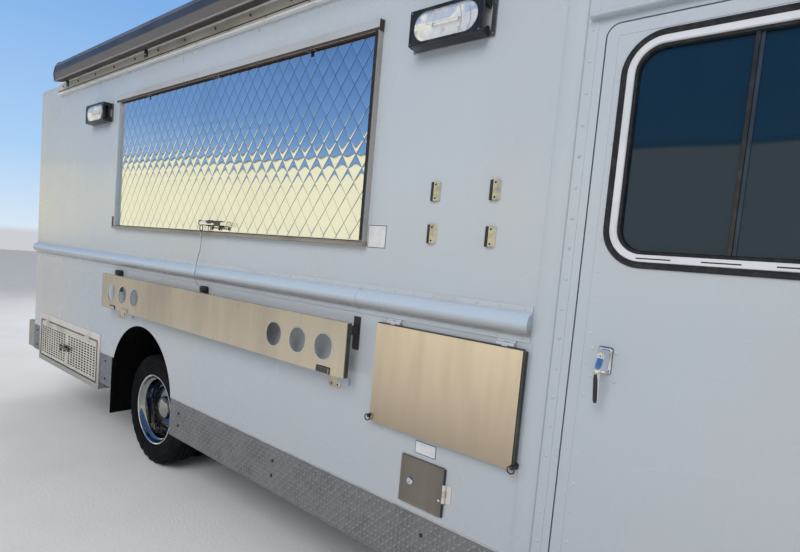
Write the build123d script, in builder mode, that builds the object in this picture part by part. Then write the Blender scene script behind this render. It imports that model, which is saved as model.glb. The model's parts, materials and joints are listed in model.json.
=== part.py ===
"""Step van food truck: walls, doors, hatch, shelves, chassis and wheels as separate pieces.

Millimetres. +X runs forward, +Y to the left, +Z up. The origin is on the ground, midway
between the bumpers and between the two walls.
"""

import os
from math import atan2, cos, pi, radians, sin

from build123d import *

os.makedirs("parts", exist_ok=True)

# Overall body
HALF_W = 1200.0  # outer face of each side wall
WALL_T = 40.0
BODY_REAR = -3750.0
CAB_REAR = 1500.0  # where the load body ends and the cab sides start
WALL_BOTTOM = 617.0  # lower edge of the side wall ahead of the rear wheel
TAIL_BOTTOM = 713.0  # lower edge of the side wall behind the rear wheel
ROOF_BOTTOM = 2900.0
ROOF_T = 60.0
ROOF_ROUND = 50.0
CAB_BOTTOM = 430.0
FLOOR_BOTTOM = 720.0
FLOOR_T = 60.0

# Front end outline, rear of roof to the lower lip
FRONT_T = 40.0
ROOF_FRONT = 2760.0
GLASS_TOP_X = 2915.0
GLASS_TOP_Z = 2650.0
GLASS_FOOT_X = 3370.0
GLASS_FOOT_Z = 1560.0
COWL_X = 3430.0
COWL_Z = 1520.0
NOSE_TOP_X = 3850.0
NOSE_TOP_Z = 1370.0
NOSE_X = 3890.0
NOSE_Z = 1300.0
NOSE_BOTTOM = 645.0
SIDE_ROUND = 35.0

# Wheels
TYRE_R = 402.0
TYRE_W = 225.0
RIM_R = 246.0  # where the tyre's bead sits
RIM_LIP_R = 254.0
RIM_T = 8.0
BEAD_HALF = 94.0
REAR_AXLE_X = -1460.0
FRONT_AXLE_X = 3060.0
DUAL_OUTER_Y = 987.0
DUAL_INNER_Y = 722.0
FRONT_WHEEL_Y = 940.0
SPINDLE_CLEAR = 0.5
REAR_SPINDLE_R = 40.0
FRONT_SPINDLE_R = 30.0

# Wheel arches
ARCH_R = 468.0
ARCH_Z = 550.0
REAR_ARCH_X = -1475.0
LINER_T = 6.0
REAR_LINER_IN = 560.0
FRONT_LINER_IN = 640.0
FLAP_BOTTOM = 270.0

# Cab doors
DOOR_REAR = 1642.0
DOOR_FRONT = 2468.0
DOOR_BOTTOM = 480.0
DOOR_TOP = 2455.0
DOOR_GAP = 5.0
DOOR_ROUND = 40.0
WINDOW_REAR = 1712.0
WINDOW_FRONT = 2398.0
WINDOW_BOTTOM = 1706.0
WINDOW_TOP = 2400.0
WINDOW_ROUND = 110.0
GLASS_T = 8.0

# Concession hatch
HATCH_REAR = -1954.0
HATCH_FRONT = 658.0
HATCH_BOTTOM = 1700.0
HATCH_TOP = 2676.0
HATCH_SIDE_W = 12.0
HATCH_LEDGE_H = 20.0
HATCH_CAP_H = 48.0
HATCH_PROUD = 28.0
HATCH_GAP = 5.0
HATCH_T = 40.0
HATCH_STEP = 4.0  # how far the closed hatch stands out of the wall

# Serving shelf
SHELF_REAR = -1954.0
SHELF_FRONT = 669.0
SHELF_BOTTOM = 1110.0
SHELF_TOP = 1358.0
SHELF_PROUD = 87.0
SHELF_FLANGE = 25.0
SHEET_T = 3.0
CUP_R = 59.0
CUP_Z = 1230.0
CUP_CENTRES = [-1790.0, -1605.0, -1420.0, 150.0, 335.0, 520.0]
SHELF_AXIS_PROUD = 56.0
SHELF_AXIS_Z = 1340.0
BRACKET_CENTRES = [-1827.0, -640.0, 643.0]

# Side shelf
SIDE_SHELF_REAR = 789.0
SIDE_SHELF_FRONT = 1482.0
SIDE_SHELF_BOTTOM = 945.0
SIDE_SHELF_TOP = 1376.0
SIDE_SHELF_PROUD = 30.0

# Fuel door
FUEL_REAR = 971.0
FUEL_FRONT = 1189.0
FUEL_BOTTOM = 648.0
FUEL_TOP = 848.0
FUEL_T = 6.0
FUEL_LAP = 18.0  # how far the door covers the wall around its recess
FILLER_R = 30.0

# Underfloor compartment
COMP_REAR = -3578.0
COMP_FRONT = -2166.0
COMP_BOTTOM = 403.0
COMP_TOP = 851.0
COMP_SIDE_W = 37.0
COMP_RAIL_TOP = 54.0
COMP_RAIL_BOTTOM = 43.0
COMP_PROUD = 6.0
COMP_DEPTH = 440.0
COMP_SHEET = 5.0
COMP_GAP = 5.0
COMP_DOOR_T = 25.0

# Rear door
REAR_DOOR_HALF = 410.0
REAR_DOOR_BOTTOM = 790.0
REAR_DOOR_TOP = 2640.0

# Hinges
PIN_R = 4.0
BARREL_R = 8.0
PIN_CLEAR = 0.4
LEAF_W = 40.0
LEAF_T = 3.0
KNUCKLE_L = 24.0

# Rub rail
RAIL_REAR = -3735.0
RAIL_FRONT = 1490.0
RAIL_BOTTOM = 1403.0
RAIL_TOP = 1532.0
RAIL_BEAD_R = 42.0
RAIL_FLANGE = 4.0

# Tread plate skirts
SKIRT_BOTTOM = 369.0
SKIRT_T = 5.0

# Awning
AWNING_REAR = -3060.0
AWNING_FRONT = 1512.0
AWNING_RAIL_REAR = -3250.0
AWNING_RAIL_BOTTOM = 2845.0
AWNING_RAIL_TOP = 2936.0
AWNING_RAIL_T = 25.0

# Scene lamps
LAMP_CENTRES = [(1032.0, 2572.0), (-2302.0, 2577.0)]
LAMP_W = 340.0
LAMP_H = 139.0
LAMP_DEPTH = 70.0
LAMP_PLATE_W = 385.0
LAMP_PLATE_T = 6.0

# Chassis
FRAME_Y = 430.0  # outer face of each frame rail
FRAME_W = 70.0
FRAME_BOTTOM = 500.0
FRAME_TOP = 700.0
FRAME_WEB = 8.0
FRAME_REAR = -3860.0
FRAME_FRONT = 3840.0
ARM_T = 60.0  # arm between a bumper and its frame rail
TOW_R = 16.0
TOW_X = FRAME_REAR - 55.0
TOW_Z = FRAME_BOTTOM + 60.0
SPRING_Y = 500.0
SPRING_W = 65.0
SPRING_HALF = 650.0

# Steering
KINGPIN_Y = 830.0
KINGPIN_R = 18.0
KINGPIN_CLEAR = 0.5
BOSS_R = 45.0
BOSS_BOTTOM = 335.0
BOSS_TOP = 455.0
LUG_T = 28.0
LUG_GAP = 0.5
ARM_REACH = 155.0
STUD_REACH = 140.0  # kingpin to the tie rod stud
STUD_R = 8.0
EYE_R = 18.0
EYE_H = 32.0
WHEEL_TILT = 35.0  # steering column, degrees from vertical
STEER_X = 2560.0
STEER_Y = 520.0
STEER_Z = 1330.0
STEER_R = 220.0


def save(builder, name):
    """Label a finished piece and write it."""
    builder.part.label = name
    export_step(builder.part, f"parts/{name}.step")


def block(x, y, z, mode=Mode.ADD):
    """A box between pairs of coordinates."""
    centre = ((x[0] + x[1]) / 2, (y[0] + y[1]) / 2, (z[0] + z[1]) / 2)
    with Locations(centre):
        Box(abs(x[1] - x[0]), abs(y[1] - y[0]), abs(z[1] - z[0]), mode=mode)


def rod(start, end, radius, mode=Mode.ADD):
    """A cylinder between two points."""
    axis = Vector(*end) - Vector(*start)
    with BuildSketch(Plane(origin=start, z_dir=axis.normalized())) as section:
        Circle(radius)
    extrude(section.sketch, amount=axis.length, mode=mode)


def side_profile(points, y, mode=Mode.ADD):
    """A polygon in side view, given as (x, z), extruded between two values of y."""
    with BuildSketch(Plane.XZ.offset(-y[0])) as section:
        Polygon(*points, align=None)
    extrude(section.sketch, amount=-(y[1] - y[0]), mode=mode)


def end_profile(points, x, mode=Mode.ADD):
    """A polygon in end view, given as (y, z), extruded between two values of x."""
    with BuildSketch(Plane.YZ.offset(x[0])) as section:
        Polygon(*points, align=None)
    extrude(section.sketch, amount=x[1] - x[0], mode=mode)


def rounded_opening(x, z, y, radius, mode=Mode.SUBTRACT):
    """A rounded rectangle in side view, cut or added between two values of y."""
    with BuildSketch(Plane.XZ.offset(-y[0])) as section:
        with Locations(((x[0] + x[1]) / 2, (z[0] + z[1]) / 2)):
            RectangleRounded(x[1] - x[0], z[1] - z[0], radius)
    extrude(section.sketch, amount=-(y[1] - y[0]), mode=mode)


def arch_cut(x, y):
    """Clear a wheel arch: a half circle with straight sides running down."""
    with BuildSketch(Plane.XZ.offset(-y[0])) as section:
        with Locations((x, ARCH_Z)):
            Circle(ARCH_R)
        with Locations((x, ARCH_Z - ARCH_R)):
            Rectangle(2 * ARCH_R, 2 * ARCH_R)
    extrude(section.sketch, amount=-(y[1] - y[0]), mode=Mode.SUBTRACT)


def span(side, inner, outer):
    """The y values from inner to outer on one side: -1 right, 1 left."""
    return sorted((side * inner, side * outer))


def leaf(at, along, toward, inward, length, reach, depth):
    """One flat hinge leaf, lying between depth[0] and depth[1] from the pin's centre."""
    along, toward, inward = Vector(*along), Vector(*toward), Vector(*inward)
    start = Vector(*at) - along * (length / 2)
    plane = Plane(origin=start, x_dir=toward, z_dir=along)
    sign = inward.dot(plane.y_dir)
    with BuildSketch(plane) as section:
        with Locations(((reach[0] + reach[1]) / 2, sign * (depth[0] + depth[1]) / 2)):
            Rectangle(reach[1] - reach[0], depth[1] - depth[0])
    extrude(section.sketch, amount=length)


def moving_hinge(at, along, toward, inward, depth=BARREL_R):
    """The middle knuckle of a hinge and its leaf, bored for the pin."""
    along = Vector(*along)
    at = Vector(*at)
    low, high = at - along * (KNUCKLE_L / 2), at + along * (KNUCKLE_L / 2)
    rod(tuple(low), tuple(high), BARREL_R)
    leaf(tuple(at), tuple(along), toward, inward, KNUCKLE_L, (0, LEAF_W), (BARREL_R - LEAF_T, depth))
    rod(tuple(low), tuple(high), PIN_R + PIN_CLEAR, Mode.SUBTRACT)


def fixed_hinge(at, along, toward, inward, depth=BARREL_R, width=LEAF_W):
    """The pin, its two outer knuckles and the leaf on the fixed side."""
    along = Vector(*along)
    at = Vector(*at)
    rod(tuple(at - along * (1.5 * KNUCKLE_L)), tuple(at + along * (1.5 * KNUCKLE_L)), PIN_R)
    leaf(tuple(at), tuple(along), toward, inward, 3 * KNUCKLE_L, (BARREL_R + 1, width),
         (BARREL_R - LEAF_T, depth))
    for end in (-1, 1):
        middle = at + along * (end * (KNUCKLE_L + PIN_CLEAR / 2))
        half = along * ((KNUCKLE_L - PIN_CLEAR) / 2)
        rod(tuple(middle - half), tuple(middle + half), BARREL_R)
        leaf(tuple(middle), tuple(along), toward, inward, KNUCKLE_L - PIN_CLEAR, (0, BARREL_R + 2),
             (BARREL_R - LEAF_T, depth))


SIDES = [("right", -1), ("left", 1)]
WALL_IN = HALF_W - WALL_T
ROOF_TOP = ROOF_BOTTOM + ROOF_T
FLOOR_TOP = FLOOR_BOTTOM + FLOOR_T

FRONT_OUTLINE = [
    (ROOF_FRONT, ROOF_TOP),
    (GLASS_TOP_X, GLASS_TOP_Z),
    (GLASS_FOOT_X, GLASS_FOOT_Z),
    (COWL_X, COWL_Z),
    (NOSE_TOP_X, NOSE_TOP_Z),
    (NOSE_X, NOSE_Z),
    (NOSE_X, NOSE_BOTTOM),
]

# Side walls of the load body
HATCH_HOLE_X = (HATCH_REAR + HATCH_SIDE_W, HATCH_FRONT - HATCH_SIDE_W)
HATCH_HOLE_Z = (HATCH_BOTTOM + HATCH_LEDGE_H, HATCH_TOP - HATCH_CAP_H)
COMP_HOLE_X = (COMP_REAR + COMP_SIDE_W, COMP_FRONT - COMP_SIDE_W)
COMP_HOLE_Z = (COMP_BOTTOM + COMP_RAIL_BOTTOM, COMP_TOP - COMP_RAIL_TOP)

for side_name, side in SIDES:
    wall_y = span(side, WALL_IN, HALF_W)
    with BuildPart() as wall:
        block((BODY_REAR, CAB_REAR), wall_y, (WALL_BOTTOM, ROOF_BOTTOM))
        block((BODY_REAR, REAR_ARCH_X), wall_y, (WALL_BOTTOM, TAIL_BOTTOM), Mode.SUBTRACT)
        arch_cut(REAR_ARCH_X, wall_y)
        if side < 0:
            block(HATCH_HOLE_X, wall_y, HATCH_HOLE_Z, Mode.SUBTRACT)
            block((COMP_REAR + COMP_SHEET, COMP_FRONT - COMP_SHEET), wall_y,
                  (TAIL_BOTTOM, COMP_TOP - COMP_SHEET), Mode.SUBTRACT)
            block((FUEL_REAR + FUEL_LAP, FUEL_FRONT - FUEL_LAP), wall_y,
                  (FUEL_BOTTOM + FUEL_LAP, FUEL_TOP - FUEL_LAP), Mode.SUBTRACT)
    save(wall, f"wall_{side_name}")

# Cab sides: the post behind the door, the header over it and the panel ahead of it
for side_name, side in SIDES:
    wall_y = span(side, WALL_IN, HALF_W)
    outline = [(CAB_REAR, WALL_BOTTOM), (CAB_REAR, ROOF_BOTTOM)]
    slope = (GLASS_TOP_X - ROOF_FRONT) / (ROOF_TOP - GLASS_TOP_Z)
    outline.append((ROOF_FRONT + slope * ROOF_T, ROOF_BOTTOM))
    outline += FRONT_OUTLINE[1:]
    outline += [(NOSE_X - FRONT_T, CAB_BOTTOM), (DOOR_REAR - DOOR_GAP, CAB_BOTTOM)]
    outline.append((DOOR_REAR - DOOR_GAP, WALL_BOTTOM))
    with BuildPart() as cab_side:
        side_profile(outline, wall_y)
        front_edges = cab_side.faces().sort_by(Axis.Y)[0 if side < 0 else -1].edges()
        front_edges = [e for e in front_edges if e.center().X > ROOF_FRONT + ROOF_T / 2]
        front_edges = [e for e in front_edges if e.center().Z > NOSE_BOTTOM]
        front_edges = [e for e in front_edges if e.center().Z < ROOF_BOTTOM - 1]
        fillet(front_edges, SIDE_ROUND)
        rounded_opening((DOOR_REAR - DOOR_GAP, DOOR_FRONT + DOOR_GAP),
                        (DOOR_BOTTOM - DOOR_GAP, DOOR_TOP + DOOR_GAP), wall_y,
                        DOOR_ROUND + DOOR_GAP)
        arch_cut(FRONT_AXLE_X, wall_y)
    save(cab_side, f"cab_side_{side_name}")

# Rear wall, between the side walls, with the two holes of a number plate
PLATE_Y = 800.0
PLATE_Z = 1000.0
PLATE_PITCH = 177.8
PLATE_HOLE_R = 3.5
with BuildPart() as wall_rear:
    block((BODY_REAR, BODY_REAR + WALL_T), (-WALL_IN, WALL_IN), (TAIL_BOTTOM, ROOF_BOTTOM))
    block((BODY_REAR, BODY_REAR + WALL_T),
          (-REAR_DOOR_HALF - DOOR_GAP, REAR_DOOR_HALF + DOOR_GAP),
          (REAR_DOOR_BOTTOM - DOOR_GAP, REAR_DOOR_TOP + DOOR_GAP), Mode.SUBTRACT)
    for y in (PLATE_Y - PLATE_PITCH / 2, PLATE_Y + PLATE_PITCH / 2):
        rod((BODY_REAR, y, PLATE_Z), (BODY_REAR + WALL_T, y, PLATE_Z), PLATE_HOLE_R, Mode.SUBTRACT)
save(wall_rear, "wall_rear")

# Roof slab with rounded long edges
with BuildPart() as roof:
    block((BODY_REAR, ROOF_FRONT), (-HALF_W, HALF_W), (ROOF_BOTTOM, ROOF_TOP))
    fillet(roof.edges().filter_by(Axis.X).group_by(Axis.Z)[-1], ROOF_ROUND)
save(roof, "roof")

# Bulkhead between kitchen and cab
AISLE_HALF = 330.0
AISLE_TOP = 2600.0
with BuildPart() as bulkhead:
    block((CAB_REAR, CAB_REAR + WALL_T), (-WALL_IN, WALL_IN), (FLOOR_TOP, ROOF_BOTTOM))
    block((CAB_REAR, CAB_REAR + WALL_T), (-AISLE_HALF, AISLE_HALF),
          (FLOOR_TOP, AISLE_TOP), Mode.SUBTRACT)
save(bulkhead, "bulkhead")

# Front panel: forehead, windscreen surround, cowl, nose and lower face
GRILLE_HALF = 430.0
GRILLE_BOTTOM = 720.0
GRILLE_TOP = 1180.0
LAMP_Y = 760.0
LAMP_Z = 1000.0
HEAD_W = 210.0
HEAD_H = 150.0
SCREEN_HALF = 1050.0
SCREEN_POST = 30.0
SCREEN_MARGIN = 70.0
SCREEN_LEN = Vector(GLASS_FOOT_X - GLASS_TOP_X, 0, GLASS_FOOT_Z - GLASS_TOP_Z).length
SCREEN_MID = Vector((GLASS_TOP_X + GLASS_FOOT_X) / 2, 0, (GLASS_TOP_Z + GLASS_FOOT_Z) / 2)
SCREEN_RAKE = atan2(GLASS_FOOT_X - GLASS_TOP_X, GLASS_TOP_Z - GLASS_FOOT_Z)
SCREEN_PLANE = Plane(origin=SCREEN_MID, x_dir=(0, 1, 0),
                     z_dir=(cos(SCREEN_RAKE), 0, sin(SCREEN_RAKE)))
HOOD_HALF = 600.0
HOOD_SLOPE = atan2(COWL_Z - NOSE_TOP_Z, NOSE_TOP_X - COWL_X)
HOOD_MARGIN = 20.0
HOOD_LEN = Vector(NOSE_TOP_X - COWL_X, 0, NOSE_TOP_Z - COWL_Z).length - 2 * HOOD_MARGIN
HOOD_T = 25.0
HOOD_GAP = 5.0
HOOD_MID = Vector((COWL_X + NOSE_TOP_X) / 2, 0, (COWL_Z + NOSE_TOP_Z) / 2)
HOOD_PLANE = Plane(origin=HOOD_MID, x_dir=(0, 1, 0),
                   z_dir=(sin(HOOD_SLOPE), 0, cos(HOOD_SLOPE)))
PANE_W = SCREEN_HALF - SCREEN_POST
PANE_H = SCREEN_LEN - 2 * SCREEN_MARGIN
PANE_SPOTS = [(side * (SCREEN_HALF + SCREEN_POST) / 2, 0) for side in (-1, 1)]

with BuildPart() as front_panel:
    with BuildSketch(Plane.XZ.offset(-WALL_IN)) as section:
        region = FRONT_OUTLINE + [(ROOF_FRONT - 3 * FRONT_T, NOSE_BOTTOM)]
        region.append((ROOF_FRONT - 3 * FRONT_T, ROOF_TOP))
        Polygon(*region, align=None)
        offset(amount=-FRONT_T, mode=Mode.SUBTRACT)
        with Locations((ROOF_FRONT - 2 * FRONT_T, (NOSE_BOTTOM + ROOF_TOP) / 2)):
            Rectangle(4 * FRONT_T, 2 * ROOF_TOP, mode=Mode.SUBTRACT)
        with Locations((ROOF_FRONT, NOSE_BOTTOM)):
            Rectangle(2 * (NOSE_X - ROOF_FRONT - FRONT_T), 3 * FRONT_T, mode=Mode.SUBTRACT)
    extrude(amount=2 * WALL_IN)
    with BuildSketch(SCREEN_PLANE) as panes:
        with Locations(*PANE_SPOTS):
            RectangleRounded(PANE_W, PANE_H, 60)
    extrude(amount=2 * FRONT_T, both=True, mode=Mode.SUBTRACT)
    with BuildSketch(HOOD_PLANE) as hood_hole:
        Rectangle(2 * (HOOD_HALF + HOOD_GAP), HOOD_LEN + 2 * HOOD_GAP)
    extrude(amount=2 * FRONT_T, both=True, mode=Mode.SUBTRACT)
    block((NOSE_X - 2 * FRONT_T, NOSE_X), (-GRILLE_HALF, GRILLE_HALF),
          (GRILLE_BOTTOM, GRILLE_TOP), Mode.SUBTRACT)
    for side in (-1, 1):
        block((NOSE_X - 2 * FRONT_T, NOSE_X),
              span(side, LAMP_Y - HEAD_W / 2, LAMP_Y + HEAD_W / 2),
              (LAMP_Z - HEAD_H / 2, LAMP_Z + HEAD_H / 2), Mode.SUBTRACT)
save(front_panel, "front_panel")

with BuildPart() as windshield:
    with BuildSketch(SCREEN_PLANE.offset(-FRONT_T / 2)) as panes:
        with Locations(*PANE_SPOTS):
            RectangleRounded(PANE_W, PANE_H, 60)
    extrude(amount=GLASS_T)
save(windshield, "windshield")

# Hood, lifting about its rear edge
HOOD_AXIS = (HOOD_PLANE.origin + HOOD_PLANE.y_dir * ((HOOD_LEN + HOOD_GAP) / 2)
             + HOOD_PLANE.z_dir * BARREL_R)
HOOD_HINGES = [-400.0, 400.0]
with BuildPart() as hood:
    with BuildSketch(HOOD_PLANE.offset(-HOOD_T)) as skin:
        Rectangle(2 * HOOD_HALF, HOOD_LEN)
    extrude(amount=HOOD_T)
    for y in HOOD_HINGES:
        moving_hinge(tuple(HOOD_AXIS + Vector(0, y, 0)), (0, 1, 0), tuple(-HOOD_PLANE.y_dir),
                     tuple(-HOOD_PLANE.z_dir))
save(hood, "hood")

# Grille: a frame with level bars
GRILLE_BARS = 8
GRILLE_T = 30.0
GRILLE_EDGE = 25.0
with BuildPart() as grille:
    block((NOSE_X - GRILLE_T, NOSE_X), (-GRILLE_HALF, GRILLE_HALF), (GRILLE_BOTTOM, GRILLE_TOP))
    pitch = (GRILLE_TOP - GRILLE_BOTTOM - GRILLE_EDGE) / GRILLE_BARS
    for bar in range(GRILLE_BARS):
        low = GRILLE_BOTTOM + GRILLE_EDGE + bar * pitch
        block((NOSE_X - GRILLE_T, NOSE_X),
              (-GRILLE_HALF + GRILLE_EDGE, GRILLE_HALF - GRILLE_EDGE),
              (low, low + pitch - GRILLE_EDGE), Mode.SUBTRACT)
save(grille, "grille")

# Head, marker and tail lamps
MARKER_R = 32.0
MARKER_PROUD = 22.0
TAIL_Y = 1010.0
TAIL_ROWS = [960.0, 1120.0]
MARKER_Y = [-1010.0, -230.0, 0.0, 230.0, 1010.0]
TAIL_R = 55.0
FOREHEAD_MID = ((ROOF_FRONT + GLASS_TOP_X) / 2, (ROOF_TOP + GLASS_TOP_Z) / 2)
FOREHEAD_RAKE = atan2(GLASS_TOP_X - ROOF_FRONT, ROOF_TOP - GLASS_TOP_Z)
with BuildPart() as road_lamps:
    for side in (-1, 1):
        block((NOSE_X - FRONT_T, NOSE_X + 6),
              span(side, LAMP_Y - HEAD_W / 2, LAMP_Y + HEAD_W / 2),
              (LAMP_Z - HEAD_H / 2, LAMP_Z + HEAD_H / 2))
        for z in TAIL_ROWS:
            rod((BODY_REAR, side * TAIL_Y, z), (BODY_REAR - 25, side * TAIL_Y, z), TAIL_R)
    for y in MARKER_Y:
        start = Vector(FOREHEAD_MID[0], y, FOREHEAD_MID[1])
        normal = Vector(cos(FOREHEAD_RAKE), 0, sin(FOREHEAD_RAKE))
        rod(tuple(start), tuple(start + normal * MARKER_PROUD), MARKER_R)
        rod((BODY_REAR, y, ROOF_BOTTOM - 60), (BODY_REAR - MARKER_PROUD, y, ROOF_BOTTOM - 60),
            MARKER_R)
save(road_lamps, "road_lamps")

# Bumpers
FRONT_BUMPER_BOTTOM = 430.0
FRONT_BUMPER_TOP = 640.0
FRONT_BUMPER_HALF = 1190.0
FRONT_BUMPER_DEPTH = 60.0
BUMPER_STAND = 35.0
BUMPER_SHELL = 6.0
BUMPER_BACK = NOSE_X + BUMPER_STAND
BUMPER_FACE = BUMPER_BACK + FRONT_BUMPER_DEPTH
with BuildPart() as bumper_front:
    block((BUMPER_BACK, BUMPER_FACE), (-FRONT_BUMPER_HALF, FRONT_BUMPER_HALF),
          (FRONT_BUMPER_BOTTOM, FRONT_BUMPER_TOP))
    fillet(bumper_front.edges().filter_by(Axis.Z).group_by(Axis.X)[-1],
           FRONT_BUMPER_DEPTH - 2 * BUMPER_SHELL)
    block((BUMPER_BACK, BUMPER_FACE - BUMPER_SHELL),
          (-FRONT_BUMPER_HALF + FRONT_BUMPER_DEPTH, FRONT_BUMPER_HALF - FRONT_BUMPER_DEPTH),
          (FRONT_BUMPER_BOTTOM + BUMPER_SHELL, FRONT_BUMPER_TOP - BUMPER_SHELL), Mode.SUBTRACT)
    for side in (-1, 1):
        block((FRAME_FRONT, BUMPER_FACE - BUMPER_SHELL), span(side, FRAME_Y - ARM_T, FRAME_Y),
              (FRAME_BOTTOM + 20, FRONT_BUMPER_TOP - 20))
save(bumper_front, "bumper_front")

# Step bumper at the rear, with a shackle hole through each of its arms
STEP_DEPTH = 235.0
STEP_BOTTOM = 463.0
STEP_TOP = 718.0
STEP_HALF = 1180.0
STEP_SHELL = 6.0
STEP_FACE = BODY_REAR - STEP_DEPTH
with BuildPart() as bumper_rear:
    block((STEP_FACE, BODY_REAR - 2), (-STEP_HALF, STEP_HALF), (STEP_BOTTOM, STEP_TOP))
    block((STEP_FACE + STEP_SHELL, BODY_REAR - 2),
          (-STEP_HALF + STEP_SHELL, STEP_HALF - STEP_SHELL),
          (STEP_BOTTOM - 1, STEP_TOP - STEP_SHELL), Mode.SUBTRACT)
    for side in (-1, 1):
        block((STEP_FACE + STEP_SHELL, FRAME_REAR), span(side, FRAME_Y - ARM_T, FRAME_Y),
              (FRAME_BOTTOM + 20, STEP_TOP - STEP_SHELL))
        rod((TOW_X, side * (FRAME_Y - ARM_T), TOW_Z), (TOW_X, side * FRAME_Y, TOW_Z), TOW_R,
            Mode.SUBTRACT)
save(bumper_rear, "bumper_rear")

# Chassis frame: two channels and their crossmembers
CROSS_X = [-3700.0, -2500.0, -800.0, 600.0, 1900.0, 3700.0]
CROSS_W = 80.0
CROSS_H = 72.0
with BuildPart() as chassis_frame:
    for side in (-1, 1):
        block((FRAME_REAR, FRAME_FRONT), span(side, FRAME_Y - FRAME_W, FRAME_Y),
              (FRAME_BOTTOM, FRAME_TOP))
        block((FRAME_REAR, FRAME_FRONT), span(side, FRAME_Y - FRAME_W, FRAME_Y - FRAME_WEB),
              (FRAME_BOTTOM + FRAME_WEB, FRAME_TOP - FRAME_WEB), Mode.SUBTRACT)
    for x in CROSS_X:
        block((x - CROSS_W / 2, x + CROSS_W / 2), (-FRAME_Y + FRAME_WEB, FRAME_Y - FRAME_WEB),
              (FRAME_TOP - FRAME_WEB - CROSS_H, FRAME_TOP - FRAME_WEB))
save(chassis_frame, "chassis_frame")

# Floor with its sills, step wells, wheel and engine cut-outs
SILL_X = [-3600.0, -2400.0, -2050.0, -900.0, 0.0, 900.0, 1560.0]
STEP_IN = 850.0
STEP_T = 12.0
FLOOR_FRONT = 3400.0
ENGINE_X = (2780.0, 3560.0)
ENGINE_HALF = 330.0
ENGINE_Z = (520.0, 1240.0)
with BuildPart() as floor:
    block((BODY_REAR + WALL_T, FLOOR_FRONT), (-WALL_IN, WALL_IN), (FLOOR_BOTTOM, FLOOR_TOP))
    for x in SILL_X:
        block((x - 30, x + 30), (-WALL_IN, WALL_IN), (FRAME_TOP, FLOOR_BOTTOM))
    for side in (-1, 1):
        block((REAR_ARCH_X - ARCH_R - LINER_T, REAR_ARCH_X + ARCH_R + LINER_T),
              span(side, REAR_LINER_IN - LINER_T, WALL_IN), (FRAME_TOP, FLOOR_TOP), Mode.SUBTRACT)
        block((FRONT_AXLE_X - ARCH_R - LINER_T, FLOOR_FRONT),
              span(side, FRONT_LINER_IN - LINER_T, WALL_IN), (FRAME_TOP, FLOOR_TOP),
              Mode.SUBTRACT)
        block((DOOR_REAR, DOOR_FRONT), span(side, STEP_IN, WALL_IN), (FRAME_TOP, FLOOR_TOP),
              Mode.SUBTRACT)
        block((DOOR_REAR - STEP_T, DOOR_FRONT + STEP_T), span(side, STEP_IN - STEP_T, WALL_IN),
              (DOOR_BOTTOM - STEP_T, FLOOR_BOTTOM))
        block((DOOR_REAR, DOOR_FRONT), span(side, STEP_IN, WALL_IN),
              (DOOR_BOTTOM, FLOOR_TOP), Mode.SUBTRACT)
    block((COMP_REAR, COMP_FRONT), (-WALL_IN, -WALL_IN + COMP_DEPTH),
          (FRAME_TOP, FLOOR_TOP), Mode.SUBTRACT)
    block((ENGINE_X[0] - 40, FLOOR_FRONT), (-ENGINE_HALF - 40, ENGINE_HALF + 40),
          (FRAME_TOP, FLOOR_TOP), Mode.SUBTRACT)
save(floor, "floor")

# Wheel boxes: an arched sheet and its inner face, with a flap behind each rear wheel
ARCH_TABLE = [  # axle x, inner y, front foot z, rear foot z
    (REAR_ARCH_X, REAR_LINER_IN, ARCH_Z, FLAP_BOTTOM),
    (FRONT_AXLE_X, FRONT_LINER_IN, ARCH_Z, ARCH_Z),
]
with BuildPart() as wheel_boxes:
    for x, inner, front_foot, rear_foot in ARCH_TABLE:
        for side in (-1, 1):
            y = span(side, inner, WALL_IN)
            with BuildSketch(Plane.XZ.offset(-y[0])) as ring:
                with Locations((x, ARCH_Z)):
                    Circle(ARCH_R + LINER_T)
                    Circle(ARCH_R, mode=Mode.SUBTRACT)
                with Locations((x, ARCH_Z - 2 * ARCH_R)):
                    Rectangle(4 * ARCH_R, 4 * ARCH_R, mode=Mode.SUBTRACT)
            extrude(ring.sketch, amount=-(y[1] - y[0]))
            with BuildSketch(Plane.XZ.offset(-span(side, inner - LINER_T, inner)[0])) as cheek:
                with Locations((x, ARCH_Z)):
                    Circle(ARCH_R + LINER_T)
                with Locations((x, FLOOR_BOTTOM - 2 * ARCH_R)):
                    Rectangle(4 * ARCH_R, 4 * ARCH_R, mode=Mode.SUBTRACT)
            extrude(cheek.sketch, amount=-LINER_T)
            if rear_foot < ARCH_Z:
                block((x - ARCH_R - LINER_T, x - ARCH_R), y, (rear_foot, ARCH_Z))
save(wheel_boxes, "wheel_boxes")

# Rub rails: two riveted flanges and a half-round bead, with a joint cover
RAIL_JOINT = 645.0
with BuildPart() as rub_rails:
    for side in (-1, 1):
        mid = (RAIL_BOTTOM + RAIL_TOP) / 2
        block((RAIL_REAR, RAIL_FRONT), span(side, HALF_W, HALF_W + RAIL_FLANGE),
              (RAIL_BOTTOM, RAIL_TOP))
        rod((RAIL_REAR, side * HALF_W, mid), (RAIL_FRONT, side * HALF_W, mid), RAIL_BEAD_R)
        rod((RAIL_JOINT - 10, side * HALF_W, mid), (RAIL_JOINT + 10, side * HALF_W, mid),
            RAIL_BEAD_R + 2)
        block((RAIL_REAR, RAIL_FRONT), span(side, HALF_W - 2 * RAIL_BEAD_R, HALF_W),
              (RAIL_BOTTOM, RAIL_TOP), Mode.SUBTRACT)
save(rub_rails, "rub_rails")

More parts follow.
